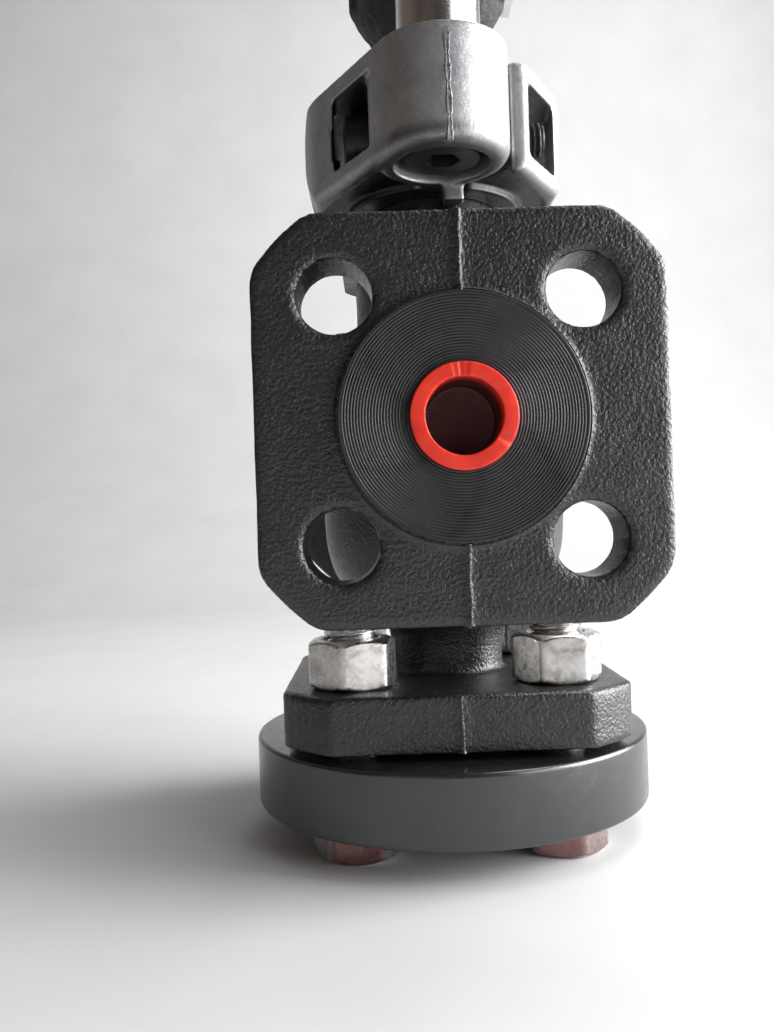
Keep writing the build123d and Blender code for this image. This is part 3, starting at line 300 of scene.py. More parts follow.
# ---------------------------------------------------------------- material helpers
class Shader:
    """A Principled material built from nodes, in object space, with sizes in millimetres."""

    def __init__(self, name, roughness=0.5, metallic=0.0, **constants):
        self.material = bpy.data.materials.new(name)
        self.material.use_nodes = True
        self.nodes = self.material.node_tree.nodes
        self.links = self.material.node_tree.links
        self.bsdf = self.nodes["Principled BSDF"]
        self.bsdf.inputs["Roughness"].default_value = roughness
        self.bsdf.inputs["Metallic"].default_value = metallic
        for key, value in constants.items():
            self.bsdf.inputs[key.replace("_", " ")].default_value = value
        self.place = self.nodes.new("ShaderNodeTexCoord").outputs["Object"]
        self.normal = None

    def put(self, socket, value):
        if isinstance(value, bpy.types.NodeSocket):
            self.links.new(value, socket)
        else:
            socket.default_value = value

    def noise(self, size, detail=3.0, rough=0.55, distortion=0.0, vector=None):
        node = self.nodes.new("ShaderNodeTexNoise")
        node.inputs["Scale"].default_value = 1 / (size * MM)
        node.inputs["Detail"].default_value = detail
        node.inputs["Roughness"].default_value = rough
        node.inputs["Distortion"].default_value = distortion
        self.links.new(vector or self.place, node.inputs["Vector"])
        return node.outputs["Fac"]

    def cells(self, size, feature="F1", vector=None, output="Distance", smooth=0.3):
        node = self.nodes.new("ShaderNodeTexVoronoi")
        node.feature = feature
        node.inputs["Scale"].default_value = 1 / (size * MM)
        if feature == "SMOOTH_F1":
            node.inputs["Smoothness"].default_value = smooth
        self.links.new(vector or self.place, node.inputs["Vector"])
        return node.outputs[output]

    def math(self, operation, a, b=0.0, clamp=False):
        node = self.nodes.new("ShaderNodeMath")
        node.operation = operation
        node.use_clamp = clamp
        self.put(node.inputs[0], a)
        self.put(node.inputs[1], b)
        return node.outputs[0]

    def span(self, value, low, high, to_low, to_high):
        node = self.nodes.new("ShaderNodeMapRange")
        limits = {"From Min": low, "From Max": high, "To Min": to_low, "To Max": to_high}
        for key, limit in limits.items():
            node.inputs[key].default_value = limit
        self.put(node.inputs["Value"], value)
        return node.outputs["Result"]

    def ramp(self, fac, *stops):
        node = self.nodes.new("ShaderNodeValToRGB")
        elements = node.color_ramp.elements
        while len(elements) < len(stops):
            elements.new(0.5)
        for element, (position, colour) in zip(elements, stops):
            element.position = position
            element.color = (*colour, 1)
        self.put(node.inputs["Fac"], fac)
        return node.outputs["Color"]

    def mix(self, fac, a, b):
        node = self.nodes.new("ShaderNodeMix")
        node.data_type = "RGBA"
        self.put(node.inputs["Factor"], fac)
        self.put(node.inputs["A"], a if isinstance(a, bpy.types.NodeSocket) else (*a, 1))
        self.put(node.inputs["B"], b if isinstance(b, bpy.types.NodeSocket) else (*b, 1))
        return node.outputs["Result"]

    def stretched(self, x=1.0, y=1.0, z=1.0):
        node = self.nodes.new("ShaderNodeMapping")
        node.inputs["Scale"].default_value = (x, y, z)
        self.links.new(self.place, node.inputs["Vector"])
        return node.outputs["Vector"]

    def axes(self, of="Object"):
        """The x, y and z of the place, or of the surface normal."""
        coordinates = self.nodes.new("ShaderNodeTexCoord").outputs[of]
        node = self.nodes.new("ShaderNodeSeparateXYZ")
        self.links.new(coordinates, node.inputs[0])
        return node.outputs["X"], node.outputs["Y"], node.outputs["Z"]

    def along_one(self, value):
        """Coordinates that change with value only."""
        node = self.nodes.new("ShaderNodeCombineXYZ")
        self.put(node.inputs["X"], value)
        return node.outputs[0]

    def radius(self, a, b, centre_a=0.0, centre_b=0.0):
        a = self.math("SUBTRACT", a, centre_a)
        b = self.math("SUBTRACT", b, centre_b)
        squares = self.math("ADD", self.math("MULTIPLY", a, a), self.math("MULTIPLY", b, b))
        return self.math("SQRT", squares)

    def bump(self, height, depth, strength=1.0):
        node = self.nodes.new("ShaderNodeBump")
        node.inputs["Strength"].default_value = strength
        node.inputs["Distance"].default_value = depth * MM
        self.put(node.inputs["Height"], height)
        if self.normal is not None:
            self.links.new(self.normal, node.inputs["Normal"])
        self.normal = node.outputs["Normal"]

    def done(self, colour, roughness):
        self.put(self.bsdf.inputs["Base Color"], colour)
        self.put(self.bsdf.inputs["Roughness"], roughness)
        if self.normal is not None:
            self.links.new(self.normal, self.bsdf.inputs["Normal"])
        return self.material


# ---------------------------------------------------------------- materials
def cast_black():
    """Sand-cast iron under thin black paint: grains under a millimetre across catch the light, and their
    crests carry a painted highlight.
    """
    s = Shader("cast_black")
    s.bsdf.inputs["Specular IOR Level"].default_value = 0.75
    grains = s.noise(0.75, 2, 0.5)
    s.bump(s.noise(3.4, 3, 0.5), 0.14, 0.4)
    s.bump(grains, 0.27, 1.0)
    s.bump(s.noise(0.36, 2, 0.5), 0.10, 0.8)
    patches = s.noise(14, 3, 0.5)
    base = s.ramp(patches, (0.3, (0.0035, 0.0037, 0.0055)), (0.72, (0.0080, 0.0082, 0.0105)))
    # painted highlight: the crests of the grains are mixed towards a lighter grey
    painted_crest_highlight = s.ramp(grains, (0.50, (0, 0, 0)), (0.80, (1, 1, 1)))
    colour = s.mix(s.math("MULTIPLY", painted_crest_highlight, 0.5), base, (0.030, 0.030, 0.035))
    return s.done(colour, s.span(s.noise(1.7, 3), 0.3, 0.7, 0.27, 0.40))


def turned_black():
    """Flange face turned with a fine spiral, then blackened."""
    s = Shader("turned_black")
    x, _, z = s.axes()
    r = s.radius(x, z, 0.0, FLOW_Z)
    lines = s.noise(1, 2, 0.5, vector=s.along_one(s.math("MULTIPLY", r, 9.0)))
    s.bump(lines, 0.05, 0.6)
    s.bump(s.noise(0.6, 3, 0.6), 0.05, 0.35)
    stain = s.noise(6, 4, 0.6)
    colour = s.ramp(stain, (0.3, (0.010, 0.010, 0.0115)), (0.75, (0.021, 0.021, 0.023)))
    return s.done(colour, s.span(lines, 0.3, 0.7, 0.30, 0.44))


def black_steel():
    """Forged steel turned smooth and phosphated: satin with faint turning marks and scuffs."""
    s = Shader("black_steel")
    s.bsdf.inputs["Specular IOR Level"].default_value = 0.95
    s.bump(s.noise(0.7, 3, 0.55, vector=s.stretched(0.4, 0.4, 2.2)), 0.06, 0.35)
    s.bump(s.noise(0.25, 2, 0.5), 0.03, 0.3)
    scuffs = s.noise(5, 6, 0.7, 0.8, vector=s.stretched(1, 1, 0.35))
    colour = s.ramp(
        scuffs,
        (0.35, (0.009, 0.0095, 0.012)),
        (0.62, (0.014, 0.0145, 0.017)),
        (0.82, (0.036, 0.036, 0.039)),
    )
    return s.done(colour, s.span(s.noise(3.2, 4, 0.6), 0.3, 0.7, 0.19, 0.29))


def red_plastic():
    """Soft red polyethylene: waxy rim, faint moulding swirls, and painted shade that darkens its cup with
    depth.
    """
    s = Shader("red_plastic", Subsurface_Weight=0.05, Subsurface_Scale=0.0008)
    s.bump(s.noise(2.2, 4, 0.55), 0.14, 0.45)
    s.bump(s.noise(0.4, 2, 0.5), 0.03, 0.3)
    colour = s.ramp(s.noise(4.5, 4, 0.55), (0.3, (0.58, 0.020, 0.010)), (0.7, (0.76, 0.040, 0.020)))
    # painted shade: inside the cup the colour darkens from the rim inwards
    x, y, z = s.axes()
    reach = s.math("ABSOLUTE", y)
    inside = s.span(s.radius(x, z, 0.0, FLOW_Z), 7.25 * MM, 7.05 * MM, 0.0, 1.0)
    depth = s.span(reach, FACE_Y + 0.8 * MM, FACE_Y - 3.5 * MM, 0.0, 1.0)
    colour = s.mix(s.math("MULTIPLY", inside, depth), colour, (0.075, 0.006, 0.005))
    return s.done(colour, s.span(s.noise(1.8, 3), 0.3, 0.7, 0.30, 0.46))


def zinc_steel():
    """Zinc-plated fastener steel: bright and cool, stained here and there, bolt heads brown-red on their
    front-facing facets.
    """
    s = Shader("zinc_steel", metallic=1.0)
    s.bump(s.noise(0.5, 3, 0.6), 0.05, 0.3)
    s.bump(s.noise(2.2, 3, 0.5), 0.09, 0.25)
    stains = s.noise(3.6, 5, 0.65, 0.6)
    _, facing_y, _ = s.axes("Normal")
    _, _, z = s.axes()
    # the bolt heads' facets that face -Y are mixed towards brown-red
    front = s.span(facing_y, -0.5, -0.8, 0.0, 0.85)
    on_heads = s.span(z, HEAD_TOP_Z + MM, HEAD_TOP_Z, 0.0, 1.0)
    head_front_tint = s.math("MULTIPLY", front, on_heads)
    colour = s.ramp(
        stains,
        (0.34, (0.36, 0.33, 0.31)),
        (0.50, (0.56, 0.55, 0.535)),
        (0.72, (0.68, 0.675, 0.665)),
    )
    colour = s.mix(head_front_tint, colour, (0.20, 0.075, 0.070))
    return s.done(colour, s.span(s.noise(1.1, 4, 0.6), 0.3, 0.7, 0.22, 0.40))


def stainless():
    s = Shader("stainless", metallic=1.0)
    s.bump(s.noise(0.35, 3, 0.5, vector=s.stretched(0.3, 0.3, 5)), 0.02, 0.35)
    colour = s.ramp(s.noise(5, 3), (0.3, (0.55, 0.55, 0.55)), (0.7, (0.66, 0.655, 0.64)))
    wear = s.noise(0.8, 4, 0.6, vector=s.stretched(0.3, 0.3, 6))
    return s.done(colour, s.span(wear, 0.3, 0.7, 0.16, 0.30))


def column_steel():
    """Bright drawn bar, ground round: fine rings and a few vertical rub marks."""
    s = Shader("column_steel", metallic=1.0)
    rings_noise = s.noise(0.5, 3, 0.6, vector=s.stretched(0.12, 0.12, 6))
    s.bump(rings_noise, 0.012, 0.4)
    rub = s.noise(2.2, 4, 0.65, vector=s.stretched(1, 1, 0.08))
    colour = s.ramp(
        rub,
        (0.30, (0.56, 0.52, 0.46)),
        (0.52, (0.72, 0.70, 0.66)),
        (0.75, (0.80, 0.79, 0.77)),
    )
    return s.done(colour, s.span(rings_noise, 0.3, 0.7, 0.14, 0.27))


def die_cast():
    """Pressure die-cast aluminium, tumbled: fine even grain, matt, with painted shade where it faces down,
    in the left chamber and in the dish underneath.
    """
    s = Shader("die_cast", metallic=0.8)
    grain = s.noise(0.42, 4, 0.65)
    s.bump(grain, 0.10, 0.6)
    s.bump(s.noise(3.0, 4, 0.55), 0.20, 0.4)
    s.bump(s.cells(1.1, "F1"), 0.05, 0.3)
    flow = s.noise(9, 5, 0.6, 0.5)
    colour = s.ramp(
        flow,
        (0.28, (0.27, 0.272, 0.282)),
        (0.55, (0.36, 0.362, 0.37)),
        (0.8, (0.44, 0.44, 0.445)),
    )
    speckle = s.ramp(grain, (0.56, (0, 0, 0)), (0.72, (1, 1, 1)))
    colour = s.mix(s.math("MULTIPLY", speckle, 0.6), colour, (0.74, 0.74, 0.74))
    # painted shade on surfaces that face down
    _, _, facing_z = s.axes("Normal")
    down = s.span(facing_z, -0.55, -0.95, 0.0, 0.85)
    colour = s.mix(down, colour, (0.060, 0.060, 0.064))
    x, y, z = s.axes()
    low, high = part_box("yoke_bracket")
    # painted shade inside the left chamber: behind the front hub, inside the slanting wall, between floor
    # and roof; the same mask also darkens the left side of the rear half
    wall = s.math("MULTIPLY", s.math("ADD", y, 29.2 * MM), 0.42)
    depth = s.math("ADD", x, wall)
    chamber = s.span(depth, -18.6 * MM, -17.0 * MM, 0.0, 1.0)
    chamber = s.math("MULTIPLY", chamber, s.span(x, -14.2 * MM, -14.9 * MM, 0.0, 1.0))
    chamber = s.math("MULTIPLY", chamber, s.span(y, -31.0 * MM, -29.0 * MM, 0.0, 1.0))
    chamber = s.math("MULTIPLY", chamber, s.span(z, high.z - 3.4 * MM, high.z - 4.4 * MM, 0.0, 0.9))
    colour = s.mix(chamber, colour, (0.012, 0.012, 0.013))
    # painted shade over the dish underneath, outside the rounded lip of the counterbore, deeper on the left
    # than on the right
    lip = s.span(s.radius(x, y, 0.0, -COLUMN_Y), 13.6 * MM, 15.0 * MM, 0.0, 1.0)
    under = s.math("MULTIPLY", lip, s.span(z, low.z + 8.2 * MM, low.z + 6.4 * MM, 0.0, 1.0))
    inward = s.span(s.math("SUBTRACT", s.math("ABSOLUTE", x), wall), 18.4 * MM, 16.8 * MM, 0.0, 1.0)
    under = s.math("MULTIPLY", under, inward)
    shade = s.span(x, -2 * MM, 5 * MM, 0.96, 0.62)
    colour = s.mix(s.math("MULTIPLY", under, shade), colour, (0.016, 0.016, 0.018))
    return s.done(colour, s.span(s.noise(1.3, 4, 0.6), 0.3, 0.7, 0.34, 0.50))


def seam_grey():
    """Torn flash of the die joint: duller and darker than the cast skin beside it."""
    s = Shader("seam_grey", metallic=0.6)
    s.bump(s.noise(0.5, 4, 0.7), 0.12, 0.8)
    colour = s.ramp(
        s.noise(0.8, 4, 0.7),
        (0.35, (0.09, 0.09, 0.093)),
        (0.55, (0.22, 0.22, 0.225)),
        (0.75, (0.55, 0.55, 0.55)),
    )
    return s.done(colour, s.span(s.noise(0.7, 3), 0.3, 0.7, 0.38, 0.60))


def coupling_black():
    """Rough blackened iron."""
    s = Shader("coupling_black")
    s.bump(s.noise(1.4, 5, 0.65), 0.9, 0.8)
    s.bump(s.noise(0.35, 3, 0.6), 0.15, 0.5)
    colour = s.ramp(s.noise(5, 4, 0.6), (0.3, (0.010, 0.010, 0.011)), (0.75, (0.035, 0.034, 0.034)))
    return s.done(colour, s.span(s.noise(1.0, 3), 0.3, 0.7, 0.42, 0.68))


def bronze():
    s = Shader("bronze", metallic=1.0)
    s.bump(s.noise(0.4, 3, 0.5, vector=s.stretched(0.3, 0.3, 5)), 0.025, 0.35)
    colour = s.ramp(
        s.noise(4, 5, 0.6),
        (0.3, (0.42, 0.24, 0.10)),
        (0.55, (0.60, 0.40, 0.19)),
        (0.8, (0.70, 0.50, 0.26)),
    )
    return s.done(colour, s.span(s.noise(0.9, 4, 0.6), 0.3, 0.7, 0.22, 0.38))


def ptfe():
    s = Shader("ptfe", Subsurface_Weight=0.1, Subsurface_Scale=0.001)
    s.bump(s.noise(0.5, 3), 0.03, 0.3)
    colour = s.ramp(s.noise(4, 3), (0.3, (0.74, 0.73, 0.69)), (0.7, (0.84, 0.83, 0.80)))
    return s.done(colour, s.span(s.noise(1.5, 3), 0.3, 0.7, 0.42, 0.55))


def graphite():
    s = Shader("graphite")
    s.bump(s.noise(0.3, 3, 0.6), 0.05, 0.5)
    colour = s.ramp(s.noise(1.2, 4, 0.6), (0.3, (0.030, 0.030, 0.032)), (0.7, (0.075, 0.075, 0.080)))
    return s.done(colour, s.span(s.noise(0.8, 3), 0.3, 0.7, 0.42, 0.62))


def black_rubber():
    s = Shader("black_rubber")
    s.bump(s.noise(0.4, 3, 0.5), 0.04, 0.4)
    colour = s.ramp(s.noise(3, 3), (0.3, (0.014, 0.014, 0.014)), (0.7, (0.026, 0.026, 0.026)))
    return s.done(colour, s.span(s.noise(1, 3), 0.3, 0.7, 0.55, 0.72))


def scale_plate():
    s = Shader("scale_plate", metallic=1.0)
    s.bump(s.noise(0.4, 3, 0.5, vector=s.stretched(1, 4, 0.2)), 0.02, 0.4)
    colour = s.ramp(s.noise(6, 3), (0.3, (0.62, 0.62, 0.62)), (0.7, (0.74, 0.74, 0.73)))
    return s.done(colour, s.span(s.noise(1.2, 3), 0.3, 0.7, 0.30, 0.42))


def wheel_black():
    """Cast iron under thick black enamel: glossy and orange-peeled."""
    s = Shader("wheel_black", Coat_Weight=0.35, Coat_Roughness=0.12)
    s.bump(s.noise(5.5, 3, 0.5), 0.5, 0.35)
    s.bump(s.noise(1.3, 3, 0.5), 0.10, 0.35)
    colour = s.ramp(s.noise(9, 4, 0.6), (0.3, (0.010, 0.010, 0.011)), (0.75, (0.022, 0.022, 0.023)))
    return s.done(colour, s.span(s.noise(3, 3), 0.3, 0.7, 0.28, 0.42))


def oxide_black():
    """Black-oxided screw steel, oily and slightly worn."""
    s = Shader("oxide_black", metallic=0.6)
    s.bump(s.noise(0.5, 3, 0.6), 0.04, 0.4)
    colour = s.ramp(
        s.noise(2.5, 5, 0.65, 0.4),
        (0.3, (0.020, 0.020, 0.021)),
        (0.65, (0.045, 0.044, 0.043)),
        (0.85, (0.12, 0.115, 0.11)),
    )
    return s.done(colour, s.span(s.noise(1.4, 3), 0.3, 0.7, 0.28, 0.45))


def printed_black():
    s = Shader("printed_black")
    s.bump(s.noise(0.3, 2), 0.01, 0.3)
    colour = s.ramp(s.noise(1, 3), (0.3, (0.012, 0.012, 0.012)), (0.7, (0.03, 0.03, 0.03)))
    return s.done(colour, s.span(s.noise(1, 2), 0.3, 0.7, 0.45, 0.6))


materials = {
    make.__name__: make()
    for make in (
        cast_black, turned_black, black_steel, red_plastic, zinc_steel, stainless, column_steel,
        die_cast, seam_grey, coupling_black, bronze, ptfe, graphite, black_rubber, scale_plate,
        wheel_black, printed_black, oxide_black,
    )
}


def paint(obj, name):
    obj.data.materials.clear()
    obj.data.materials.append(materials[name])
    return obj


# Every CAD node shows its slot's material; the ones replaced below are hidden.
for entry in record["subparts"]:
    node = frame["nodes"][entry["node"]]
    material = materials[entry["material_slot"]]
    for k in range(max(1, len(node.material_slots))):
        if node.material_slots:
            node.material_slots[k].material = material
        else:
            node.data.materials.append(material)


# ---------------------------------------------------------------- casting
def cylinder(place, radius, low, high, n=96):
    bm = bmesh.new()
    rings(bm, None, [(low, radius), (high, radius)], place, n)
    return bm


def corners():
    return [(x, y) for x in (-SQUARE, SQUARE) for y in (-SQUARE, SQUARE)]


def build_casting():
    """The rough body: an even skin with rounded edges, then the drilled and turned cuts."""
    voxel = 0.8 * MM
    obj = remeshed("casting", "valve_body", voxel, 3, "valve")
    # the voxel skin stands a little off the flats, so it is held inside the CAD box
    roughen(obj, 0.035 * MM, 3.2 * MM, seed=3)
    roughen(obj, 0.09 * MM, 11 * MM, seed=8)
    over = 1.0 * MM
    skim_r, skim = 23.6 * MM, 0.02 * MM
    port_deep = 31 * MM
    cutters = []
    for side in (-1, 1):
        place = along_y(side, FLOW_Z)
        cutters.append(cylinder(place, skim_r, PLATE_FACE_Y + skim, FACE_Y + over))
        cutters.append(cylinder(place, PORT_R, FACE_Y - port_deep, FACE_Y + over))
        for x in (-SQUARE, SQUARE):
            for z in (-SQUARE, SQUARE):
                hole = at(x, 0, z) @ place
                cutters.append(
                    cylinder(hole, HOLE_R, PLATE_FACE_Y - FLANGE_HOLE_DEEP, FACE_Y + over)
                )
    for x, y in corners():
        cutters.append(
            cylinder(at(x, y), HOLE_R, BODY_BOTTOM_Z - over, BODY_BOTTOM_Z + FOOT_HOLE_DEEP)
        )
    # the bottom is faced flat
    slab_w = 200 * MM
    slab = bmesh.new()
    bmesh.ops.create_cube(slab, size=slab_w, matrix=at(0, 0, BODY_BOTTOM_Z - slab_w / 2))
    cutters.append(slab)
    cut(obj, cutters)
    finish_shading(obj, 38)
    return paint(obj, "cast_black")


def build_raised_face(side, name):
    """The turned face: a disc whose front carries a fine spiral groove."""
    bm = bmesh.new()
    place = along_y(side, FLOW_Z)
    inner, outer = PORT_R + 0.05 * MM, 23 * MM
    pitch, depth = 0.55 * MM, 0.17 * MM
    first, last = 9.0 * MM, 22.7 * MM
    radial = int((last - first) / pitch * 6)
    turns = 288

    def height_at(a, r):
        phase = (r / pitch - side * a / TAU) % 1.0
        tooth = abs(2 * phase - 1)
        fade = min(1.0, (r - first) / pitch, (last - r) / pitch)
        return FACE_Y - depth * max(0.0, 1 - tooth * 1.35) * max(0.0, fade)

    def ring_at(r, z=None):
        row = []
        for i in range(turns):
            a = TAU * i / turns
            depth_z = height_at(a, r) if z is None else z
            row.append(bm.verts.new(place @ Vector((r * math.cos(a), r * math.sin(a), depth_z))))
        return row

    root = PLATE_FACE_Y - 1 * MM
    bore_edge, rim_edge = 0.3 * MM, 0.12 * MM
    made = [ring_at(inner, root), ring_at(inner, FACE_Y - 0.35 * MM), ring_at(inner + bore_edge, FACE_Y)]
    made += [ring_at(first + (last - first) * k / radial) for k in range(radial + 1)]
    made += [ring_at(outer - rim_edge, FACE_Y), ring_at(outer, FACE_Y - rim_edge), ring_at(outer, root)]
    made.append(made[0])
    grid_faces(bm, made)
    obj = piece(name, bm, "valve", sharp=75)
    return paint(obj, "turned_black")


def build_parting_fins():
    """Ragged flash along the mould joint, in the plane of stem and flow."""
    bm = bmesh.new()
    rng = np.random.default_rng(21)

    def ridge(start, end, out, across, width, height, step=0.9 * MM):
        start, end, out, across = Vector(start), Vector(end), Vector(out), Vector(across)
        count = max(3, int((end - start).length / step))
        rows = []
        drift = 0.0
        for k in range(count + 1):
            p = start.lerp(end, k / count)
            drift = 0.8 * drift + rng.normal() * 0.06 * MM
            h = height * (0.75 + 0.5 * rng.random())
            w = width * (0.8 + 0.4 * rng.random())
            side = p + across * drift
            rows.append([
                bm.verts.new(side - across * w * 2.6 - out * 0.30 * MM),
                bm.verts.new(side - across * w * 0.25 + out * h),
                bm.verts.new(side + across * w * 0.35 + out * h * 0.9),
                bm.verts.new(side + across * w * 1.3 - out * 0.30 * MM),
            ])
        for low, high in zip(rows, rows[1:]):
            for i in range(3):
                bm.faces.new((low[i], low[i + 1], high[i + 1], high[i]))
            bm.faces.new((low[3], low[0], high[0], high[3]))
        bm.faces.new(rows[0])
        bm.faces.new(list(reversed(rows[-1])))

    x = PARTING_X
    across = (1, 0, 0)
    near, far, back = 23.3 * MM, 38.3 * MM, 13.5 * MM
    foot_low, foot_high = 0.3 * MM, 12.2 * MM
    for side in (-1, 1):
        y = side * PLATE_FACE_Y
        out = (0, side, 0)
        for up in (-1, 1):
            start, end = (x, y, FLOW_Z + up * near), (x, y, FLOW_Z + up * far)
            ridge(start, end, out, across, 0.62 * MM, 0.62 * MM)
            edge_z = FLOW_Z + up * HALF_SQUARE
            start, end = (x, y, edge_z), (x, y - side * back, edge_z)
            ridge(start, end, (0, 0, up), across, 0.5 * MM, 0.35 * MM)
        y = side * HALF_SQUARE
        start, end = (x, y, BODY_BOTTOM_Z + foot_low), (x, y, BODY_BOTTOM_Z + foot_high)
        ridge(start, end, out, across, 0.55 * MM, 0.5 * MM)
    obj = piece("parting_fins", bm, "valve", sharp=60)
    return paint(obj, "cast_black")


# ---------------------------------------------------------------- port plugs
def build_port_plug(side, node, body):
    """A moulded cup with a rounded rim, trimmed nicks and a slightly uneven wall."""
    low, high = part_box(node)
    tip = high.y if side > 0 else -low.y
    rim_r = (high.x - low.x) / 2
    rim_t = 1.2 * MM
    floor = tip - rim_t - 10.5 * MM
    back = tip - 13.2 * MM
    inner_r, body_r = 7.1 * MM, 8.42 * MM
    centre, taper, edge = 0.02 * MM, 0.35 * MM, 0.35 * MM
    outline = rounded(
        [
            (centre, back), (body_r - 0.7 * MM, back), (body_r, back + 1.6 * MM),
            (body_r, tip - rim_t), (rim_r, tip - rim_t), (rim_r, tip),
            (inner_r, tip), (inner_r - taper, floor), (centre, floor),
        ],
        edge,
    )
    bm = bmesh.new()
    lathe(bm, along_y(side, FLOW_Z), outline, n=144)
    obj = piece(f"{node}_cup", bm, body, [node], sharp=50)
    places = np.array([v.co[:] for v in obj.data.vertices])
    angle = np.arctan2(places[:, 2] - FLOW_Z, places[:, 0])
    radius = np.hypot(places[:, 0], places[:, 2] - FLOW_Z)
    front = np.clip((side * places[:, 1] - (tip - 1.0 * MM)) / (1.0 * MM), 0, 1)
    wave = 0.05 * MM * np.sin(3 * angle + 0.6) + 0.03 * MM * np.sin(7 * angle)
    nicks = np.zeros(len(places))
    # each nick: its angle and half-width in radians, its depth in millimetres
    trims = ((1.62, 0.05, 0.35), (1.50, 0.035, 0.25), (1.75, 0.03, 0.2), (-0.55, 0.07, 0.45))
    for where, width, depth in trims:
        gap = np.angle(np.exp(1j * (angle - where)))
        nicks += depth * MM * np.exp(-((gap / width) ** 2))
    places[:, 1] -= side * front * nicks * (radius > inner_r * 0.97)
    grow = 1 + front * wave / np.maximum(radius, 1 * MM)
    grow = np.where(radius > rim_r - 0.3 * MM, np.minimum(grow, 1.0), grow)
    places[:, 0] *= grow
    places[:, 2] = FLOW_Z + (places[:, 2] - FLOW_Z) * grow
    obj.data.vertices.foreach_set("co", places.ravel())
    obj.data.update()
    return paint(obj, "red_plastic")


# ---------------------------------------------------------------- flange joint
def build_blank_flange():
    low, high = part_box("blank_flange")
    bm = bmesh.new()
    r = (high.x - low.x) / 2
    centre, edge = 0.05 * MM, 1.1 * MM
    outline = rounded([(centre, low.z), (r, low.z), (r, high.z), (centre, high.z)], edge, 6)
    lathe(bm, at(0, 0), outline, n=256)
    obj = piece("blank_flange_disc", bm, "valve", ["blank_flange"], sharp=50)
    over = 1 * MM
    cut(obj, [cylinder(at(x, y), HOLE_R, low.z - over, high.z + over) for x, y in corners()])
    finish_shading(obj, 50)
    return paint(obj, "black_steel")


# how far each bolt head is turned, in degrees, by the side it stands at in x and y
TURNS = {(-1, -1): 31, (1, -1): 15, (-1, 1): 50, (1, 1): 5}


def build_flange_bolts():
    low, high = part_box("flange_bolts")
    shank_r, thread_r = 5.9 * MM, 6 * MM
    thread_z = low.z + 30 * MM
    bm = bmesh.new()
    for x, y in corners():
        place = at(x, y)
        turn = math.radians(TURNS[(round(x / SQUARE), round(y / SQUARE))])
        hexagon(bm, place, M12_FLATS, low.z, HEAD_TOP_Z, turn)
        shank = [(HEAD_TOP_Z - 0.1 * MM, shank_r), (thread_z, shank_r)]
        rings(bm, None, shank, place, 72, (True, False))
        thread(bm, place, thread_r, M12_PITCH, thread_z, high.z)
    obj = piece("flange_bolt_set", bm, "valve", ["flange_bolts"], sharp=42)
    return paint(obj, "zinc_steel")


def build_flange_nuts():
    low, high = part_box("flange_nuts")
    nut_turn = 17
    bm = bmesh.new()
    for x, y in corners():
        turn = math.radians(TURNS[(round(x / SQUARE), round(y / SQUARE))] + nut_turn)
        hexagon(bm, at(x, y), M12_FLATS, low.z, high.z, turn, bore=6.03 * MM)
    obj = piece("flange_nut_set", bm, "valve", ["flange_nuts"], sharp=42)
    return paint(obj, "zinc_steel")


# ---------------------------------------------------------------- yoke bracket
def soften_near(obj, centre, reach, rounds):
    """Rounds the edges of obj near one place."""
    group = obj.vertex_groups.new(name="near")
    for v in obj.data.vertices:
        gap = (v.co - centre).length / reach
        if gap < 1:
            group.add([v.index], min(1.0, 2 * (1 - gap)), "REPLACE")
    step = obj.modifiers.new("near", "SMOOTH")
    step.factor = 0.5
    step.iterations = rounds
    step.vertex_group = "near"
    apply_modifiers(obj)


def build_bracket():
    top_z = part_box("yoke_bracket")[1].z
    voxel = 0.45 * MM
    obj = remeshed("bracket_casting", "yoke_bracket", voxel, 5, "valve")
    roughen(obj, 0.03 * MM, 4 * MM, seed=12)
    clamp_wall_end = Vector((17.2 * MM, -COLUMN_Y + 3.5 * MM, top_z))
    soften_near(obj, clamp_wall_end, 4.5 * MM, 40)
    finish_shading(obj, 60)
    return paint(obj, "die_cast")


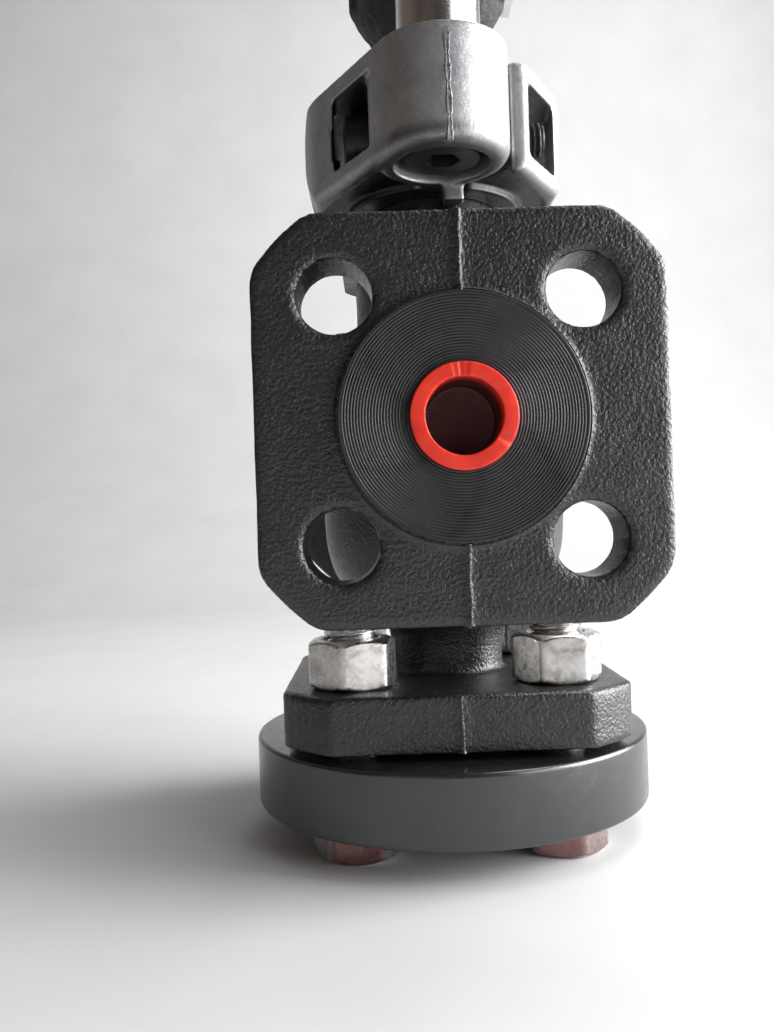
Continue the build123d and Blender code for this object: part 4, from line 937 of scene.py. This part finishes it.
def build_hub_seam():
    """The die's parting flash down the front of the front hub: two broken lips with a rough bed between."""
    low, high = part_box("yoke_bracket")
    hub_r = 14.5 * MM
    rng = np.random.default_rng(5)
    bm = bmesh.new()
    bottom, top = low.z + 3.4 * MM, high.z - 2.3 * MM
    count = 60
    across = 17
    seam_x, half_w, root = 0.6 * MM, 0.8 * MM, 0.9 * MM
    wander = np.cumsum(rng.normal(size=count + 1)) * 0.022 * MM
    wander -= np.linspace(wander[0], wander[-1], count + 1)
    rows = []
    for k in range(count + 1):
        z = bottom + (top - bottom) * k / count
        row = []
        wide = half_w * (0.8 + 0.25 * math.sin(k * 0.37) + 0.12 * rng.normal())
        fade = min(1.0, k / 4, (count - k) / 4)
        for i in range(across):
            t = 2 * i / (across - 1) - 1
            lips = math.exp(-((abs(t) - 0.55) / 0.16) ** 2)
            height = 0.13 * lips * (0.5 + 0.7 * rng.random())
            height += 0.05 * rng.random() * (abs(t) < 0.5)
            height = height * MM * fade if abs(t) < 0.98 else -0.25 * MM
            x = seam_x + wander[k] + t * wide
            a = x / hub_r
            r = hub_r + height
            row.append(bm.verts.new((r * math.sin(a), -COLUMN_Y - r * math.cos(a), z)))
        rows.append(row)
    grid_faces(bm, rows, closed=False)

    def behind(v):
        return bm.verts.new((v.co.x, v.co.y + root, v.co.z))

    back = [[behind(v) for v in row] for row in (rows[0], rows[-1])]
    for i in range(across - 1):
        bm.faces.new((rows[0][i], rows[0][i + 1], back[0][i + 1], back[0][i]))
        bm.faces.new((rows[-1][i], rows[-1][i + 1], back[1][i + 1], back[1][i]))
    sides = []
    for i in (0, across - 1):
        inner = [back[0][i]] + [behind(row[i]) for row in rows[1:-1]] + [back[1][i]]
        for k in range(count):
            bm.faces.new((rows[k][i], rows[k + 1][i], inner[k + 1], inner[k]))
        sides.append(inner)
    grid_faces(bm, sides, closed=False)
    obj = piece("hub_seam", bm, "valve", sharp=70)
    return paint(obj, "seam_grey")


def build_clamp_screw():
    """Socket head screw across the clamp; its tip shows its thread."""
    low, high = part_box("clamp_screw")
    mid_z, mid_y = (low.z + high.z) / 2, (low.y + high.y) / 2
    head_r, head_end, tip = 6.5 * MM, low.x + 8 * MM, high.x
    shank_r, thread_x = 3.98 * MM, head_end + 12 * MM
    place = along_x(0, mid_y, mid_z)
    bm = bmesh.new()
    socket, deep = 3.0 * MM, 4 * MM

    def six(a, _):
        return hex_radius(a, 2 * socket, 0.0)

    edge = 0.5 * MM
    rows = [
        (low.x + deep, 0.02 * MM), (low.x + deep, None), (low.x + 0.4 * MM, None),
        (low.x, socket + 0.9 * MM), (low.x, head_r - edge), (low.x + edge, head_r),
        (head_end, head_r), (head_end, shank_r), (thread_x, shank_r),
    ]
    rings(bm, six, rows, place, 96, (True, False))
    thread(bm, place, shank_r, 1.25 * MM, thread_x, tip)
    obj = piece("clamp_screw_threaded", bm, "valve", ["clamp_screw"], sharp=40)
    return paint(obj, "oxide_black")


# ---------------------------------------------------------------- columns
def build_column(node, side):
    low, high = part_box(node)
    bar_r = (high.x - low.x) / 2
    stud_r, neck_r = 7 * MM, 6.1 * MM
    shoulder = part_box("crosshead")[0].z
    foot_edge, head_edge, slack = 0.3 * MM, 0.8 * MM, 0.02 * MM
    thread_z = shoulder + 2.2 * MM
    place = at(0, side * COLUMN_Y)
    bm = bmesh.new()
    outline = [
        (bar_r - foot_edge, low.z), (bar_r, low.z + foot_edge),
        (bar_r, shoulder - head_edge), (bar_r - head_edge, shoulder),
        (neck_r, shoulder + slack), (neck_r, thread_z),
    ]
    lathe(bm, place, outline, 160, (True, False))
    thread(bm, place, stud_r - slack, 2.0 * MM, thread_z, high.z)
    obj = piece(f"{node}_bar", bm, "valve", [node], sharp=40)
    return paint(obj, "column_steel")


def build_column_nuts():
    low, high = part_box("column_nuts")
    bm = bmesh.new()
    for side, turn in ((-1, 9), (1, 41)):
        place = at(0, side * COLUMN_Y)
        hexagon(bm, place, 21 * MM, low.z, high.z, math.radians(turn), bore=7.03 * MM)
    obj = piece("column_nut_pair", bm, "valve", ["column_nuts"], sharp=42)
    return paint(obj, "zinc_steel")


# ---------------------------------------------------------------- stem coupling
def build_coupling():
    voxel = 0.5 * MM
    obj = remeshed("coupling_casting", "coupling_nut", voxel, 6, "trim")
    roughen(obj, 0.30 * MM, 5.0 * MM, seed=31)
    roughen(obj, 0.16 * MM, 2.0 * MM, seed=32)
    # the bumps stay inside the nut's own radius, clear of the scale it passes
    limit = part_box("coupling_nut")[1].x - 0.05 * MM
    for v in obj.data.vertices:
        r = math.hypot(v.co.x, v.co.y)
        if r > limit:
            v.co.x *= limit / r
            v.co.y *= limit / r
    finish_shading(obj, 60)
    return paint(obj, "coupling_black")


def build_spindle():
    """Boss under the arm, then a trapezoidal thread as far as the sleeve's top."""
    low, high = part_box("spindle")
    boss_r, boss_top = (high.x - low.x) / 2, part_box("guide_arm")[0].z
    rod_r, neck_r = 8 * MM, 6.4 * MM
    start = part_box("arm_nut")[1].z + 2 * MM
    bm = bmesh.new()
    outline = rounded(
        [(0.05 * MM, low.z), (boss_r, low.z), (boss_r, boss_top), (neck_r, boss_top), (neck_r, start)],
        0.4 * MM,
    )
    lathe(bm, at(0, 0), outline, 96, (True, False))
    thread(bm, at(0, 0), rod_r - 0.02 * MM, 3 * MM, start, high.z, depth=1.5 * MM, flat=0.3)
    obj = piece("spindle_thread", bm, "trim", ["spindle"], sharp=40)
    return paint(obj, "stainless")


# ---------------------------------------------------------------- handwheel and crosshead
def build_handwheel():
    voxel = 0.75 * MM
    obj = remeshed("handwheel_casting", "handwheel", voxel, 8, "wheel")
    roughen(obj, 0.05 * MM, 9 * MM, seed=41)
    bore_r, over = 12.05 * MM, 3 * MM
    key_low, key_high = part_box("wheel_key")
    cut(obj, [cylinder(at(0, 0), bore_r, key_low.z - over, key_high.z + over)])
    keyway = bmesh.new()
    size = Matrix.Diagonal((4.1 * MM, 5.0 * MM, 24 * MM, 1))
    middle = at(bore_r, 0, (key_low.z + key_high.z) / 2)
    bmesh.ops.create_cube(keyway, size=1.0, matrix=middle @ size)
    cut(obj, [keyway])
    finish_shading(obj, 45)
    return paint(obj, "wheel_black")


def build_crosshead():
    voxel = 0.5 * MM
    obj = remeshed("crosshead_casting", "crosshead", voxel, 5, "valve")
    roughen(obj, 0.03 * MM, 5 * MM, seed=51)
    finish_shading(obj, 50)
    return paint(obj, "die_cast")


def build_scale_marks():
    """Printed graduations on the travel scale, one each millimetre, longer each five."""
    low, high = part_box("travel_scale")
    bm = bmesh.new()
    face_x = low.x - 0.03 * MM
    first, last = low.z + 6 * MM, low.z + 26 * MM
    count = round((last - first) / MM)
    mid_y = (low.y + high.y) / 2
    for k in range(count + 1):
        z = first + k * MM
        reach = (4.4 if k % 5 == 0 else 2.4) * MM
        middle = at(face_x + 0.04 * MM, mid_y - 1.5 * MM + reach / 2, z)
        size = Matrix.Diagonal((0.12 * MM, reach, 0.22 * MM, 1))
        bmesh.ops.create_cube(bm, size=1.0, matrix=middle @ size)
    obj = piece("scale_marks", bm, "valve", sharp=30)
    return paint(obj, "printed_black")


# ---------------------------------------------------------------- stage, light, camera
def build_stage():
    """A pale floor that sweeps up into a backdrop."""
    bm = bmesh.new()
    bend_y, bend_r, top = 0.55, 0.45, 2.2
    profile = [(-2.5, 0.0), (bend_y, 0.0)]
    profile += [
        (bend_y + bend_r * math.sin(math.radians(a)), bend_r * (1 - math.cos(math.radians(a))))
        for a in range(6, 91, 6)
    ]
    profile.append((bend_y + bend_r, top))
    rows = [[bm.verts.new((x, y, z - 0.05 * MM)) for x in (-3.0, 3.0)] for y, z in profile]
    grid_faces(bm, rows, closed=False)
    mesh = bpy.data.meshes.new("stage")
    bm.to_mesh(mesh)
    bm.free()
    mesh.shade_smooth()
    obj = new_object("stage", mesh)
    s = Shader("stage_pale")
    colour = s.ramp(s.noise(60, 3), (0.3, (0.61, 0.605, 0.60)), (0.7, (0.65, 0.645, 0.64)))
    mesh.materials.append(s.done(colour, 0.85))


def area_light(name, place, target, size, power, colour):
    light = bpy.data.lights.new(name, "AREA")
    light.shape = "RECTANGLE"
    light.size, light.size_y = size
    light.energy = power
    light.color = colour
    obj = new_object(name, light)
    obj.location = place
    obj.rotation_euler = (Vector(target) - Vector(place)).to_track_quat("-Z", "Y").to_euler()


def build_light():
    """A bright window on the right and a lesser light beside it; a dim, warm front and left."""
    world = bpy.data.worlds.new("pale_room")
    bpy.context.scene.world = world
    world.use_nodes = True
    nodes, links = world.node_tree.nodes, world.node_tree.links
    split = nodes.new("ShaderNodeSeparateXYZ")
    links.new(nodes.new("ShaderNodeTexCoord").outputs["Generated"], split.inputs[0])

    def shade(socket, *stops):
        spread = nodes.new("ShaderNodeMapRange")
        spread.inputs["From Min"].default_value = -1
        links.new(socket, spread.inputs["Value"])
        ramp = nodes.new("ShaderNodeValToRGB")
        elements = ramp.color_ramp.elements
        while len(elements) < len(stops):
            elements.new(0.5)
        for element, (position, colour) in zip(elements, stops):
            element.position = position
            element.color = (*colour, 1)
        links.new(spread.outputs["Result"], ramp.inputs["Fac"])
        return ramp.outputs["Color"]

    sideways = shade(
        split.outputs["X"],
        (0.05, (0.30, 0.24, 0.19)),
        (0.45, (0.42, 0.42, 0.44)),
        (0.85, (1.6, 1.6, 1.58)),
    )
    fore = shade(
        split.outputs["Y"],
        (0.10, (0.14, 0.115, 0.11)),
        (0.62, (0.9, 0.9, 0.9)),
        (0.9, (1.25, 1.25, 1.25)),
    )
    both = nodes.new("ShaderNodeMix")
    both.data_type = "RGBA"
    both.blend_type = "MULTIPLY"
    both.inputs["Factor"].default_value = 1
    links.new(sideways, both.inputs["A"])
    links.new(fore, both.inputs["B"])
    background = nodes["Background"]
    links.new(both.outputs["Result"], background.inputs["Color"])
    background.inputs["Strength"].default_value = 0.6
    middle = (0, 0, 0.11)
    area_light("window", (0.78, -0.04, 0.27), middle, (0.7, 0.7), 21, (0.98, 0.99, 1.0))
    cool = (0.97, 0.98, 1.0)
    area_light("skylight", (0.35, 0.25, 1.0), (0.2, 0.35, 0.2), (0.9, 0.6), 7, cool)
    area_light("doorway", (0.62, -0.52, 0.30), middle, (0.5, 0.7), 4.0, cool)
    area_light("fill", (-0.35, -0.75, 0.25), middle, (0.5, 0.5), 0.25, (1.0, 0.93, 0.88))


def build_camera():
    """Level, a little left of the stem axis and below the flow axis, looking along the flow."""
    image_h, focal_px = 1032, 938.3
    place = Vector((-15.9 * MM, -234.6 * MM, FLOW_Z - 17.9 * MM))
    pan, tilt, roll = (math.radians(a) for a in (-0.45, 0.09, -1.87))
    right = Vector((math.cos(pan), math.sin(pan), 0))
    ahead = Vector((-math.sin(pan), math.cos(pan), 0))
    up = Vector((0, 0, 1))
    c, s = math.cos(tilt), math.sin(tilt)
    ahead, up = ahead * c + up * s, up * c - ahead * s
    c, s = math.cos(roll), math.sin(roll)
    right, up = right * c + up * s, up * c - right * s
    data = bpy.data.cameras.new("camera")
    data.sensor_width = 36
    data.lens = focal_px * data.sensor_width / image_h
    data.clip_start = 0.01
    obj = new_object("camera", data)
    turn = Matrix((right, up, -ahead)).transposed()
    obj.matrix_world = Matrix.Translation(place) @ turn.to_4x4()
    bpy.context.scene.camera = obj


build_camera()
build_stage()
build_light()
build_casting()
build_raised_face(-1, "inlet_raised_face")
build_raised_face(1, "outlet_raised_face")
build_parting_fins()
build_port_plug(-1, "inlet_plug", "inlet_plug")
build_port_plug(1, "outlet_plug", "outlet_plug")
build_blank_flange()
build_flange_bolts()
build_flange_nuts()
build_bracket()
build_hub_seam()
build_clamp_screw()
build_column("column_front", -1)
build_column("column_rear", 1)
build_column_nuts()
build_coupling()
build_spindle()
build_handwheel()
build_crosshead()
build_scale_marks()
frame["nodes"]["column_screws"].material_slots[0].material = materials["oxide_black"]

bpy.context.scene.view_settings.view_transform = "Standard"
